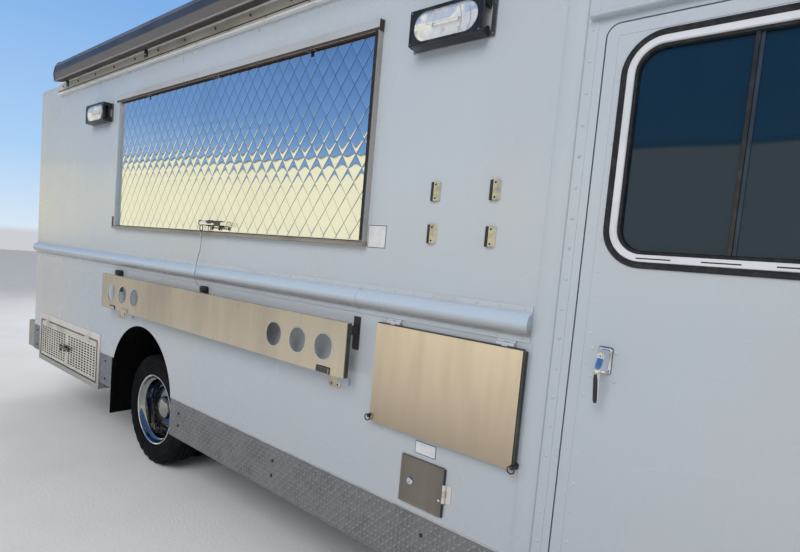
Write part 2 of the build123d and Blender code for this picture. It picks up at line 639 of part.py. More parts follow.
# Tread plate skirts below the side walls
SKIRT_STAYS = [-980.0, 60.0, 960.0, 1600.0]
with BuildPart() as skirts:
    for side in (-1, 1):
        y = span(side, HALF_W - SKIRT_T, HALF_W)
        block((REAR_ARCH_X + ARCH_R, DOOR_REAR - DOOR_GAP), y, (SKIRT_BOTTOM, WALL_BOTTOM))
        block((COMP_FRONT, REAR_ARCH_X - ARCH_R), y, (470, TAIL_BOTTOM))
        if side > 0:
            block((BODY_REAR, COMP_FRONT), y, (470, TAIL_BOTTOM))
        if side < 0:
            block((BODY_REAR, COMP_REAR), y, (470, TAIL_BOTTOM))
        for x in SKIRT_STAYS:
            block((x, x + 30), span(side, HALF_W - 60, HALF_W - SKIRT_T),
                  (SKIRT_BOTTOM + 60, WALL_BOTTOM))
            block((x, x + 30), span(side, WALL_IN - 40, WALL_IN),
                  (SKIRT_BOTTOM + 60, FLOOR_BOTTOM))
save(skirts, "skirts")

# Awning in its box, with the rail that carries it
AWNING_PROFILE = [  # distance out of the wall, height
    (4, 2946), (60, 2924), (118, 2910), (126, 2972), (116, 3030), (88, 3076), (30, 3080),
    (4, 3060),
]
with BuildPart() as awning:
    end_profile([(-HALF_W - out, z) for out, z in AWNING_PROFILE], (AWNING_REAR, AWNING_FRONT))
save(awning, "awning")

with BuildPart() as awning_rail:
    block((AWNING_RAIL_REAR, AWNING_FRONT + 40), (-HALF_W - AWNING_RAIL_T, -HALF_W),
          (AWNING_RAIL_BOTTOM, AWNING_RAIL_TOP))
    for x in (AWNING_REAR + 60, (AWNING_REAR + AWNING_FRONT) / 2, AWNING_FRONT - 60):
        block((x - 30, x + 30), (-HALF_W - 4, -HALF_W), (AWNING_RAIL_TOP, 3050))
save(awning_rail, "awning_rail")

# Scene lamps
with BuildPart() as scene_lamps:
    for x, z in LAMP_CENTRES:
        rounded_opening((x - LAMP_PLATE_W / 2, x + LAMP_PLATE_W / 2),
                        (z - LAMP_H / 2, z + LAMP_H / 2),
                        (-HALF_W - LAMP_PLATE_T, -HALF_W), 12, Mode.ADD)
        rounded_opening((x - LAMP_W / 2, x + LAMP_W / 2), (z - LAMP_H / 2, z + LAMP_H / 2),
                        (-HALF_W - LAMP_DEPTH, -HALF_W - LAMP_PLATE_T), 20, Mode.ADD)
save(scene_lamps, "scene_lamps")

# Stainless frame of the hatch: side strips, lower ledge and a drip cap
LIP_T = 3.0
with BuildPart() as hatch_frame:
    proud = (-HALF_W - HATCH_PROUD, -HALF_W)
    for x in (HATCH_REAR, HATCH_FRONT - HATCH_SIDE_W):
        block((x, x + HATCH_SIDE_W), proud, (HATCH_BOTTOM, HATCH_TOP))
    block((HATCH_REAR - 27, HATCH_FRONT), proud, (HATCH_BOTTOM, HATCH_BOTTOM + HATCH_LEDGE_H))
    block((HATCH_REAR, HATCH_FRONT), proud, (HATCH_TOP - LIP_T, HATCH_TOP))
    block((HATCH_REAR, HATCH_FRONT), (proud[0], proud[0] + LIP_T),
          (HATCH_TOP - HATCH_CAP_H, HATCH_TOP))
    block((-702, -686), (-HALF_W - 34, -HALF_W - 18), (HATCH_BOTTOM - 2, HATCH_BOTTOM + 5))
save(hatch_frame, "hatch_frame")

# Hatch panel with its pull latch
HATCH_AXIS_Z = HATCH_HOLE_Z[1] + 2.0
HATCH_AXIS_PROUD = HATCH_STEP + BARREL_R
HATCH_HINGES = [-1500.0, -650.0, 200.0]
LATCH_X = (-696.0, -421.0)
LATCH_Z = 1768.0
with BuildPart() as hatch:
    block((HATCH_HOLE_X[0] + HATCH_GAP, HATCH_HOLE_X[1] - HATCH_GAP),
          (-HALF_W - HATCH_STEP, -HALF_W - HATCH_STEP + HATCH_T),
          (HATCH_HOLE_Z[0] + HATCH_GAP, HATCH_HOLE_Z[1] - HATCH_GAP))
    for x in LATCH_X:
        block((x - 12, x + 12), (-HALF_W - 40, -HALF_W - HATCH_STEP), (LATCH_Z - 12, LATCH_Z + 12))
    block((LATCH_X[0] - 12, LATCH_X[1] + 12), (-HALF_W - 44, -HALF_W - 32),
          (LATCH_Z - 9, LATCH_Z + 9))
    for x in HATCH_HINGES:
        moving_hinge((x, -HALF_W - HATCH_AXIS_PROUD, HATCH_AXIS_Z), (1, 0, 0), (0, 0, -1), (0, 1, 0))
save(hatch, "hatch")

# Serving shelf: a folded tray with cup holes at both ends
SHELF_FACE = -HALF_W - SHELF_PROUD
SHELF_BACK = SHELF_FACE + SHELF_FLANGE
SHELF_AXIS_Y = -HALF_W - SHELF_AXIS_PROUD
CATCHES = [(489.0, 573.0), (-1600.0, -1516.0)]
FORK_GAP = 7.0
FORK_T = 5.0
with BuildPart() as serving_shelf:
    block((SHELF_REAR, SHELF_FRONT), (SHELF_FACE, SHELF_BACK), (SHELF_BOTTOM, SHELF_TOP))
    block((SHELF_REAR + SHEET_T, SHELF_FRONT - SHEET_T), (SHELF_FACE + SHEET_T, SHELF_BACK),
          (SHELF_BOTTOM + SHEET_T, SHELF_TOP - SHEET_T), Mode.SUBTRACT)
    for x in CUP_CENTRES:
        rod((x, SHELF_FACE - 1, CUP_Z), (x, SHELF_BACK, CUP_Z), CUP_R, Mode.SUBTRACT)
    for x in BRACKET_CENTRES:
        half = FORK_GAP - PIN_CLEAR
        block((x - half, x + half), (SHELF_FACE + SHEET_T, SHELF_AXIS_Y),
              (SHELF_AXIS_Z, SHELF_TOP - SHEET_T))
        rod((x - half, SHELF_AXIS_Y, SHELF_AXIS_Z), (x + half, SHELF_AXIS_Y, SHELF_AXIS_Z),
            BARREL_R)
        rod((x - half, SHELF_AXIS_Y, SHELF_AXIS_Z), (x + half, SHELF_AXIS_Y, SHELF_AXIS_Z),
            PIN_R + PIN_CLEAR, Mode.SUBTRACT)
    for low, high in CATCHES:
        block((low, high), (SHELF_FACE - 8, SHELF_FACE + SHEET_T), (SHELF_BOTTOM, SHELF_BOTTOM + 26))
save(serving_shelf, "serving_shelf")

# Brackets that carry the serving shelf, with the catches below it
CATCH_PLATES = [(545.0, 623.0), (-1690.0, -1612.0)]
with BuildPart() as shelf_brackets:
    for x in BRACKET_CENTRES:
        for edge in (x - FORK_GAP - FORK_T, x + FORK_GAP):
            block((edge, edge + FORK_T), (SHELF_AXIS_Y, -HALF_W),
                  (SHELF_AXIS_Z - 40, SHELF_AXIS_Z))
            rod((edge, SHELF_AXIS_Y, SHELF_AXIS_Z), (edge + FORK_T, SHELF_AXIS_Y, SHELF_AXIS_Z),
                BARREL_R)
        rod((x - FORK_GAP - FORK_T, SHELF_AXIS_Y, SHELF_AXIS_Z),
            (x + FORK_GAP + FORK_T, SHELF_AXIS_Y, SHELF_AXIS_Z), PIN_R)
        block((x - 20, x + 20), (-HALF_W - 4, -HALF_W), (1231, 1382))
    block((-660, -640), (-HALF_W - 18, -HALF_W), (1376, 1390))
    for low, high in CATCH_PLATES:
        block((low, high), (-HALF_W - 5, -HALF_W), (1057, 1089))
save(shelf_brackets, "shelf_brackets")

# Side shelf: a flat tray, hinged along its top edge
SIDE_FACE = -HALF_W - SIDE_SHELF_PROUD
SIDE_AXIS_PROUD = 12.0
SIDE_AXIS_Z = SIDE_SHELF_TOP + BARREL_R + 2.0
SIDE_HINGES = [SIDE_SHELF_REAR + 80, SIDE_SHELF_FRONT - 80]
with BuildPart() as side_shelf:
    block((SIDE_SHELF_REAR, SIDE_SHELF_FRONT), (SIDE_FACE, -HALF_W - LEAF_T - 2),
          (SIDE_SHELF_BOTTOM, SIDE_SHELF_TOP))
    for x in SIDE_HINGES:
        moving_hinge((x, -HALF_W - SIDE_AXIS_PROUD, SIDE_AXIS_Z), (1, 0, 0), (0, 0, -1), (0, -1, 0),
                     BARREL_R + LEAF_T)
save(side_shelf, "side_shelf")

# Fuel door over its recess
FUEL_AXIS = (FUEL_FRONT + BARREL_R, -HALF_W - BARREL_R, (FUEL_BOTTOM + FUEL_TOP) / 2)
with BuildPart() as fuel_door:
    block((FUEL_REAR, FUEL_FRONT), (-HALF_W - FUEL_T, -HALF_W - 0.3), (FUEL_BOTTOM, FUEL_TOP))
    rod((1025, -HALF_W - FUEL_T - 5, 746), (1025, -HALF_W - FUEL_T, 746), 14)
    moving_hinge(FUEL_AXIS, (0, 0, 1), (-1, 0, 0), (0, 1, 0), BARREL_R - 0.3)
save(fuel_door, "fuel_door")

# Compartment body and its frame
with BuildPart() as compartment:
    block((COMP_REAR, COMP_FRONT), (-HALF_W - COMP_PROUD, -HALF_W), (COMP_BOTTOM, COMP_TOP))
    block((COMP_REAR + COMP_SHEET, COMP_FRONT - COMP_SHEET),
          (-HALF_W, -WALL_IN + COMP_DEPTH - COMP_SHEET),
          (COMP_BOTTOM + COMP_SHEET, COMP_TOP - COMP_SHEET))
    block((COMP_REAR + 2 * COMP_SHEET, COMP_FRONT - 2 * COMP_SHEET),
          (-HALF_W, -WALL_IN + COMP_DEPTH - 2 * COMP_SHEET),
          (COMP_BOTTOM + 2 * COMP_SHEET, COMP_TOP - 2 * COMP_SHEET), Mode.SUBTRACT)
    block(COMP_HOLE_X, (-HALF_W - COMP_PROUD, -HALF_W), COMP_HOLE_Z, Mode.SUBTRACT)
save(compartment, "compartment")

# Perforated compartment door with a central stile, hung at its top edge
COMP_AXIS_Y = -HALF_W - COMP_PROUD - BARREL_R
COMP_AXIS_Z = COMP_HOLE_Z[1] - COMP_GAP / 2
COMP_HINGES = [COMP_HOLE_X[0] + 200, COMP_HOLE_X[1] - 200]
with BuildPart() as compartment_door:
    x = (COMP_HOLE_X[0] + COMP_GAP, COMP_HOLE_X[1] - COMP_GAP)
    z = (COMP_HOLE_Z[0] + COMP_GAP, COMP_HOLE_Z[1] - COMP_GAP)
    block(x, (-HALF_W - COMP_PROUD, -HALF_W - COMP_PROUD + COMP_DOOR_T), z)
    for hinge_x in COMP_HINGES:
        moving_hinge((hinge_x, COMP_AXIS_Y, COMP_AXIS_Z), (1, 0, 0), (0, 0, -1), (0, 1, 0))
save(compartment_door, "compartment_door")

# Cab doors with their glass
DOOR_AXIS_X = DOOR_FRONT + DOOR_GAP / 2
DOOR_HINGES = [DOOR_BOTTOM + 200, (DOOR_BOTTOM + DOOR_TOP) / 2, DOOR_TOP - 200]
for side_name, side in SIDES:
    y = span(side, WALL_IN, HALF_W)
    with BuildPart() as door:
        rounded_opening((DOOR_REAR, DOOR_FRONT), (DOOR_BOTTOM, DOOR_TOP), y, DOOR_ROUND, Mode.ADD)
        rounded_opening((WINDOW_REAR, WINDOW_FRONT), (WINDOW_BOTTOM, WINDOW_TOP), y, WINDOW_ROUND)
        for z in DOOR_HINGES:
            moving_hinge((DOOR_AXIS_X, side * (HALF_W + BARREL_R), z), (0, 0, 1), (-1, 0, 0),
                         (0, -side, 0))
    save(door, f"door_{side_name}")
    mid = HALF_W - WALL_T / 2
    with BuildPart() as glass:
        rounded_opening((WINDOW_REAR, WINDOW_FRONT), (WINDOW_BOTTOM, WINDOW_TOP),
                        span(side, mid - GLASS_T / 2, mid + GLASS_T / 2), WINDOW_ROUND, Mode.ADD)
    save(glass, f"door_glass_{side_name}")

# Rear door
REAR_AXIS_Y = REAR_DOOR_HALF + DOOR_GAP / 2
REAR_HINGES = [REAR_DOOR_BOTTOM + 200, (REAR_DOOR_BOTTOM + REAR_DOOR_TOP) / 2, REAR_DOOR_TOP - 200]
with BuildPart() as rear_door:
    block((BODY_REAR, BODY_REAR + WALL_T), (-REAR_DOOR_HALF, REAR_DOOR_HALF),
          (REAR_DOOR_BOTTOM, REAR_DOOR_TOP))
    for z in REAR_HINGES:
        moving_hinge((BODY_REAR - BARREL_R, REAR_AXIS_Y, z), (0, 0, 1), (0, -1, 0), (1, 0, 0))
save(rear_door, "rear_door")

# Engine, dashboard, seat and steering column
with BuildPart() as engine:
    block(ENGINE_X, (-ENGINE_HALF, ENGINE_HALF), ENGINE_Z)
    for side in (-1, 1):
        block((ENGINE_X[0] + 250, ENGINE_X[0] + 370),
              span(side, ENGINE_HALF, FRAME_Y - FRAME_WEB - 10),
              (FRAME_BOTTOM + FRAME_WEB + 0.3, FRAME_BOTTOM + 60))
save(engine, "engine")

SHAFT_R = 12.0
COVER_T = 20.0
COVER_REAR = 2720.0
with BuildPart() as dashboard:
    block((COVER_REAR, 3330), (-ENGINE_HALF - 38, ENGINE_HALF + 38), (FLOOR_TOP, 1300))
    block((COVER_REAR + COVER_T, 3330), (-ENGINE_HALF - 18, ENGINE_HALF + 18),
          (FLOOR_TOP, 1300 - COVER_T), Mode.SUBTRACT)
    side_profile([(2900, 1300), (3315, 1300), (3315, 1540), (3060, 1540), (2900, 1460)],
                 (-1100, 1100))
    column = Vector(STEER_X, STEER_Y, STEER_Z)
    down = Vector(sin(radians(WHEEL_TILT)), 0, -cos(radians(WHEEL_TILT)))
    rod(tuple(column + down * 40), tuple(column + down * 640), 30)
    rod(tuple(column + down * 150), (2905, STEER_Y, 1335), 20)
    rod(tuple(column - down * 5), tuple(column + down * 45), SHAFT_R)
save(dashboard, "dashboard")

SEAT_X = (1850.0, 2310.0)
with BuildPart() as driver_seat:
    block(SEAT_X, (STEER_Y - 240, STEER_Y + 240), (1140, 1260))
    side_profile([(SEAT_X[0], 1260), (SEAT_X[0] + 110, 1260), (SEAT_X[0] + 30, 1900),
                  (SEAT_X[0] - 80, 1900)], (STEER_Y - 230, STEER_Y + 230))
    block((SEAT_X[0] + 60, SEAT_X[1] - 60), (STEER_Y - 160, STEER_Y + 160), (FLOOR_TOP, 1140))
save(driver_seat, "driver_seat")

with BuildPart() as steering_wheel:
    tilt = Plane(origin=(STEER_X, STEER_Y, STEER_Z), x_dir=(0, 1, 0),
                 z_dir=(-sin(radians(WHEEL_TILT)), 0, cos(radians(WHEEL_TILT))))
    with BuildSketch(Plane(origin=tilt.origin + tilt.x_dir * STEER_R, x_dir=tilt.x_dir,
                           z_dir=tilt.y_dir)) as grip:
        Circle(14)
    revolve(grip.sketch, axis=Axis(tilt.origin, tilt.z_dir))
    for turn in (0, 90, 180, 270):
        arm = tilt.x_dir.rotate(Axis((0, 0, 0), tilt.z_dir), turn)
        rod(tuple(tilt.origin), tuple(tilt.origin + arm * STEER_R), 9)
    rod(tuple(tilt.origin - tilt.z_dir * 39), tuple(tilt.origin + tilt.z_dir * 16), 34)
    rod(tuple(tilt.origin - tilt.z_dir * 40), tuple(tilt.origin + tilt.z_dir * 5.5),
        SHAFT_R + PIN_CLEAR, Mode.SUBTRACT)
save(steering_wheel, "steering_wheel")

# Fuel tank and exhaust
with BuildPart() as fuel_tank:
    block((500, 1400), (-1020, -470), (430, 690))
    fillet(fuel_tank.edges().filter_by(Axis.X), 60)
    for x in (650, 1250):
        block((x - 30, x + 30), (-472, -FRAME_Y), (540, 680))
save(fuel_tank, "fuel_tank")

PIPE_R = 27.0
MUFFLER_Y = 620.0
PIPE_ROUTES = [
    [(2860, 300, 520), (2860, 300, 460), (2700, 300, 450), (2300, 300, 450), (760, MUFFLER_Y, 450),
     (500, MUFFLER_Y, 560)],
    [(-400, MUFFLER_Y, 560), (-600, MUFFLER_Y, 560), (-760, 800, 480), (-800, 1130, 420)],
]
with BuildPart() as exhaust:
    rod((-400, MUFFLER_Y, 560), (500, MUFFLER_Y, 560), 110)
    for route in PIPE_ROUTES:
        for start, end in zip(route, route[1:]):
            rod(start, end, PIPE_R)
        for corner in route[1:-1]:
            with Locations(corner):
                Sphere(PIPE_R)
    for x in (-300, 400):
        block((x - 20, x + 20), (FRAME_Y, MUFFLER_Y - 60), (570, 600))
save(exhaust, "exhaust")

# Axles, springs and driveshaft
LEAF_TABLE = [(REAR_AXLE_X, 460.0), (FRONT_AXLE_X, 400.0)]  # axle x, underside of spring
SPRING_T = 40.0
EYE_Z = 600.0
DIFF_R = 170.0
with BuildPart() as axles:
    rod((REAR_AXLE_X, -DUAL_INNER_Y + 160, TYRE_R), (REAR_AXLE_X, DUAL_INNER_Y - 160, TYRE_R), 58)
    rod((REAR_AXLE_X, -890, TYRE_R), (REAR_AXLE_X, 890, TYRE_R), REAR_SPINDLE_R)
    with Locations((REAR_AXLE_X, 0, TYRE_R)):
        Sphere(DIFF_R)
    block((FRONT_AXLE_X - 35, FRONT_AXLE_X + 35), (-KINGPIN_Y, KINGPIN_Y), (340, 400))
    for side in (-1, 1):
        rod((FRONT_AXLE_X, side * KINGPIN_Y, BOSS_BOTTOM), (FRONT_AXLE_X, side * KINGPIN_Y, BOSS_TOP),
            BOSS_R)
        rod((FRONT_AXLE_X, side * KINGPIN_Y, BOSS_BOTTOM), (FRONT_AXLE_X, side * KINGPIN_Y, BOSS_TOP),
            KINGPIN_R + KINGPIN_CLEAR, Mode.SUBTRACT)
save(axles, "axles")

# Driveshaft from the gearbox at the engine's rear down to the axle's nose
SHAFT_START = Vector(REAR_AXLE_X + DIFF_R, 0, TYRE_R + 8)
SHAFT_END = Vector(ENGINE_X[0] - 250, 0, 600)
with BuildPart() as driveshaft:
    rod(tuple(SHAFT_START), tuple(SHAFT_END), 45)
    rod(tuple(SHAFT_END), (ENGINE_X[0], 0, 600), 110)
save(driveshaft, "driveshaft")

with BuildPart() as springs:
    for x, seat in LEAF_TABLE:
        for side in (-1, 1):
            y = span(side, SPRING_Y - SPRING_W / 2, SPRING_Y + SPRING_W / 2)
            with BuildSketch(Plane.XZ.offset(-y[0])) as blade:
                with BuildLine():
                    low = ThreePointArc((x - SPRING_HALF, EYE_Z - SPRING_T), (x, seat),
                                        (x + SPRING_HALF, EYE_Z - SPRING_T))
                    Line(low @ 1, (x + SPRING_HALF, EYE_Z))
                    high = ThreePointArc((x + SPRING_HALF, EYE_Z), (x, seat + SPRING_T),
                                         (x - SPRING_HALF, EYE_Z))
                    Line(high @ 1, low @ 0)
                make_face()
            extrude(blade.sketch, amount=-SPRING_W)
            for end in (-1, 1):
                eye = x + end * SPRING_HALF
                block((eye - 25, eye + 25), span(side, FRAME_Y, SPRING_Y + SPRING_W / 2),
                      (EYE_Z - SPRING_T - 15, EYE_Z + 50))
save(springs, "springs")

# Knuckles: a fork on the kingpin, with the wheel spindle and a steering arm
SPINDLE_END = 1000.0
WEB_IN = 50.0
WEB_OUT = 66.0
for side_name, side in SIDES:
    pin_y = side * KINGPIN_Y
    with BuildPart() as knuckle:
        for low in (BOSS_BOTTOM - LUG_GAP - LUG_T, BOSS_TOP + LUG_GAP):
            rod((FRONT_AXLE_X, pin_y, low), (FRONT_AXLE_X, pin_y, low + LUG_T), BOSS_R)
            block((FRONT_AXLE_X - BOSS_R, FRONT_AXLE_X + BOSS_R),
                  span(side, KINGPIN_Y, KINGPIN_Y + WEB_OUT), (low, low + LUG_T))
        block((FRONT_AXLE_X - BOSS_R, FRONT_AXLE_X + BOSS_R),
              span(side, KINGPIN_Y + WEB_IN, KINGPIN_Y + WEB_OUT),
              (BOSS_BOTTOM - LUG_GAP - LUG_T, BOSS_TOP + LUG_GAP + LUG_T))
        rod((FRONT_AXLE_X, pin_y, BOSS_BOTTOM - LUG_T), (FRONT_AXLE_X, pin_y, BOSS_TOP + LUG_T),
            KINGPIN_R)
        rod((FRONT_AXLE_X, side * (KINGPIN_Y + WEB_IN), TYRE_R),
            (FRONT_AXLE_X, side * SPINDLE_END, TYRE_R), FRONT_SPINDLE_R)
        arm_low = BOSS_BOTTOM - LUG_GAP - LUG_T
        block((FRONT_AXLE_X - ARM_REACH, FRONT_AXLE_X), span(side, KINGPIN_Y - 18, KINGPIN_Y + 18),
              (arm_low, arm_low + LUG_T - 6))
        rod((FRONT_AXLE_X - STUD_REACH, pin_y, arm_low - EYE_H - 2),
            (FRONT_AXLE_X - STUD_REACH, pin_y, arm_low), STUD_R)
    save(knuckle, f"knuckle_{side_name}")

with BuildPart() as tie_rod:
    eye_top = BOSS_BOTTOM - LUG_GAP - LUG_T - 0.5
    rod((FRONT_AXLE_X - STUD_REACH, -KINGPIN_Y, eye_top - EYE_H / 2),
        (FRONT_AXLE_X - STUD_REACH, KINGPIN_Y, eye_top - EYE_H / 2), 14)
    for side in (-1, 1):
        low = (FRONT_AXLE_X - STUD_REACH, side * KINGPIN_Y, eye_top - EYE_H)
        high = (FRONT_AXLE_X - STUD_REACH, side * KINGPIN_Y, eye_top)
        rod(low, high, EYE_R)
        rod(low, high, STUD_R + PIN_CLEAR, Mode.SUBTRACT)
save(tie_rod, "tie_rod")


def tyre_ring(centre, axle_x):
    """One tyre, its section turned about the axle line."""
    half = TYRE_W / 2
    bead = TYRE_R + RIM_LIP_R + 1
    with BuildSketch(Plane.YZ.offset(axle_x)) as section:
        with BuildLine():
            Polyline((centre - BEAD_HALF, bead), (centre - BEAD_HALF, TYRE_R + RIM_R),
                     (centre + BEAD_HALF, TYRE_R + RIM_R), (centre + BEAD_HALF, bead))
            ThreePointArc((centre + BEAD_HALF, bead), (centre + half, TYRE_R + 322),
                          (centre + 98, 2 * TYRE_R - 12))
            Polyline((centre + 98, 2 * TYRE_R - 12), (centre + 86, 2 * TYRE_R),
                     (centre - 86, 2 * TYRE_R), (centre - 98, 2 * TYRE_R - 12))
            ThreePointArc((centre - 98, 2 * TYRE_R - 12), (centre - half, TYRE_R + 322),
                          (centre - BEAD_HALF, bead))
        make_face()
    revolve(section.sketch, axis=Axis((axle_x, 0, TYRE_R), (0, 1, 0)))


def ring(y, radii, axle_x, mode=Mode.ADD):
    """A flat ring or tube about the axle line, between two values of y and two radii."""
    with BuildSketch(Plane.XZ.offset(-y[0])) as section:
        with Locations((axle_x, TYRE_R)):
            Circle(radii[1])
            if radii[0] > 0:
                Circle(radii[0], mode=Mode.SUBTRACT)
    extrude(section.sketch, amount=-(y[1] - y[0]), mode=mode)


# Wheels
DUAL_FACE = (DUAL_INNER_Y + DUAL_OUTER_Y) / 2
for side_name, side in SIDES:
    with BuildPart() as tyres:
        for y in (DUAL_INNER_Y, DUAL_OUTER_Y):
            tyre_ring(side * y, REAR_AXLE_X)
    save(tyres, f"tyres_rear_{side_name}")
    with BuildPart() as rims:
        ring(span(side, DUAL_INNER_Y - 95, DUAL_OUTER_Y + 95), (RIM_R - RIM_T, RIM_R), REAR_AXLE_X)
        for y in (DUAL_INNER_Y, DUAL_OUTER_Y):
            for edge in (y - 101, y + 95):
                ring(span(side, edge, edge + 6), (RIM_R - RIM_T, RIM_LIP_R), REAR_AXLE_X)
        ring(span(side, DUAL_FACE - 10, DUAL_FACE + 10), (REAR_SPINDLE_R, RIM_R - RIM_T), REAR_AXLE_X)
        ring(span(side, DUAL_INNER_Y - 80, DUAL_FACE - 10), (REAR_SPINDLE_R, 190), REAR_AXLE_X)
        ring(span(side, DUAL_FACE + 10, DUAL_FACE + 110), (0, 100), REAR_AXLE_X)
        ring(span(side, DUAL_INNER_Y - 90, 895), (0, REAR_SPINDLE_R + SPINDLE_CLEAR), REAR_AXLE_X,
             Mode.SUBTRACT)
    save(rims, f"wheels_rear_{side_name}")
    with BuildPart() as tyre:
        tyre_ring(side * FRONT_WHEEL_Y, FRONT_AXLE_X)
    save(tyre, f"tyre_front_{side_name}")
    with BuildPart() as rim:
        ring(span(side, FRONT_WHEEL_Y - 95, FRONT_WHEEL_Y + 95), (RIM_R - RIM_T, RIM_R), FRONT_AXLE_X)
        for edge in (FRONT_WHEEL_Y - 101, FRONT_WHEEL_Y + 95):
            ring(span(side, edge, edge + 6), (RIM_R - RIM_T, RIM_LIP_R), FRONT_AXLE_X)
        ring(span(side, FRONT_WHEEL_Y + 30, FRONT_WHEEL_Y + 42), (0, RIM_R - RIM_T), FRONT_AXLE_X)
        ring(span(side, FRONT_WHEEL_Y - 20, FRONT_WHEEL_Y + 90), (0, 90), FRONT_AXLE_X)
        ring(span(side, FRONT_WHEEL_Y - 35, FRONT_WHEEL_Y + 30), (FRONT_SPINDLE_R, 170), FRONT_AXLE_X)
        ring(span(side, FRONT_WHEEL_Y - 40, SPINDLE_END + 3), (0, FRONT_SPINDLE_R + SPINDLE_CLEAR),
             FRONT_AXLE_X, Mode.SUBTRACT)
    save(rim, f"wheel_front_{side_name}")

# Mirrors on tube arms
MIRROR_W = 220.0
MIRROR_IN = HALF_W + 30.0
MIRROR_POST_Y = MIRROR_IN + MIRROR_W / 2
MIRROR_POST_X = 2760.0
with BuildPart() as mirrors:
    for side in (-1, 1):
        for z in (1750.0, 2350.0):
            block((2615, 2665), span(side, HALF_W, HALF_W + 24), (z - 30, z + 30))
            rod((2640, side * (HALF_W + 14), z), (MIRROR_POST_X, side * MIRROR_POST_Y, z), 11)
        rod((MIRROR_POST_X, side * MIRROR_POST_Y, 1740), (MIRROR_POST_X, side * MIRROR_POST_Y, 2360),
            11)
        block((MIRROR_POST_X - 20, MIRROR_POST_X + 20), span(side, MIRROR_IN, MIRROR_IN + MIRROR_W),
              (1850, 2250))
save(mirrors, "mirrors")

# Roof vents
with BuildPart() as roof_vents:
    with Locations((-900, 0, ROOF_TOP + 60)):
        Cylinder(300, 120)
    with Locations((-900, 0, ROOF_TOP + 220)):
        Cylinder(380, 200)
    block((700, 1100), (-200, 200), (ROOF_TOP, ROOF_TOP + 90))
save(roof_vents, "roof_vents")

# Fixed halves of the hinges, drip rails, filler neck and menu clips
CLIPS = [(1021, 1938), (1292, 1941), (1020, 1769), (1291, 1769)]
UP = (0, 0, 1)
HINGES = [  # centre, along, toward, inward, depth, width
    (FUEL_AXIS, UP, (1, 0, 0), (0, 1, 0), BARREL_R, 30.0),
]
for x in HATCH_HINGES:
    HINGES.append(((x, -HALF_W - HATCH_AXIS_PROUD, HATCH_AXIS_Z), (1, 0, 0), UP, (0, 1, 0),
                   HATCH_AXIS_PROUD, LEAF_W))
for x in SIDE_HINGES:
    HINGES.append(((x, -HALF_W - SIDE_AXIS_PROUD, SIDE_AXIS_Z), (1, 0, 0), UP, (0, 1, 0),
                   SIDE_AXIS_PROUD, 16.0))
for x in COMP_HINGES:
    HINGES.append(((x, COMP_AXIS_Y, COMP_AXIS_Z), (1, 0, 0), UP, (0, 1, 0), BARREL_R, LEAF_W))
for z in REAR_HINGES:
    HINGES.append(((BODY_REAR - BARREL_R, REAR_AXIS_Y, z), UP, (0, 1, 0), (1, 0, 0), BARREL_R,
                   LEAF_W))
for side in (-1, 1):
    for z in DOOR_HINGES:
        HINGES.append(((DOOR_AXIS_X, side * (HALF_W + BARREL_R), z), UP, (1, 0, 0),
                       (0, -side, 0), BARREL_R, LEAF_W))
for y in HOOD_HINGES:
    HINGES.append((tuple(HOOD_AXIS + Vector(0, y, 0)), (0, 1, 0), tuple(HOOD_PLANE.y_dir),
                   tuple(-HOOD_PLANE.z_dir), BARREL_R, 16.0))
with BuildPart() as hinges:
    for centre, along, toward, inward, depth, width in HINGES:
        fixed_hinge(centre, along, toward, inward, depth, width)
save(hinges, "hinges")

with BuildPart() as fittings:
    for side in (-1, 1):
        block((DOOR_REAR - 54, DOOR_FRONT + 40), span(side, HALF_W, HALF_W + 30), (2480, 2497))
    for x, z in CLIPS:
        block((x - 20, x + 20), (-HALF_W - 12, -HALF_W), (z - 37, z + 37))
    fuel_mid = ((FUEL_REAR + FUEL_FRONT) / 2, (FUEL_BOTTOM + FUEL_TOP) / 2)
    rod((fuel_mid[0], -HALF_W + 10, fuel_mid[1]), (fuel_mid[0], -WALL_IN - 4, fuel_mid[1]), FILLER_R)
    block((FUEL_REAR + FUEL_LAP, FUEL_FRONT - FUEL_LAP), (-WALL_IN - 4, -WALL_IN),
          (FUEL_BOTTOM + FUEL_LAP, FUEL_TOP - FUEL_LAP))
save(fittings, "fittings")

# Lanyard hanging from the hatch frame to the shelf's middle bracket
CORD_R = 2.0
CORD_POINTS = [
    (-694, -1226, 1698), (-694, -1226, 1660), (-690, -1232, 1603), (-695, -1245, 1548),
    (-686, -1257, 1492), (-690, -1262, 1440), (-670, -1254, 1403), (-650, -1238, 1383),
    (-650, -1218, 1383),
]
radii = []
for before, here, after in zip(CORD_POINTS, CORD_POINTS[1:], CORD_POINTS[2:]):
    one, two = Vector(*here) - Vector(*before), Vector(*after) - Vector(*here)
    turn = radians(one.get_angle(two))
    radii.append(0.45 * min(one.length, two.length) / (sin(turn / 2) / cos(turn / 2)))
print("lanyard radii", [round(r, 1) for r in radii])
with BuildPart() as lanyard:
    with BuildLine() as route:
        FilletPolyline(*CORD_POINTS, radius=radii)
    with BuildSketch(Plane(origin=CORD_POINTS[0], z_dir=route.line % 0)) as section:
        Circle(CORD_R)
    sweep(section.sketch, path=route.line)
cord_length = route.wire().length
cord_volume = cord_length * pi * CORD_R**2
print("lanyard length", round(cord_length, 1))
print("lanyard volume over section times length", round(lanyard.part.volume / cord_volume, 5))
save(lanyard, "lanyard")
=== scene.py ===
"""Looks for the step van food truck: finishes on every CAD node and the detail pieces around them.

+X runs forward, +Y to the left, +Z up, as in the CAD model. Pieces are drawn in millimetres, and
materials, the cord, the camera and the lights are in Blender's metres.
"""

import json
from math import cos, exp, hypot, pi, radians, sin

import bmesh
import bpy
from mathutils import Matrix, Vector, noise


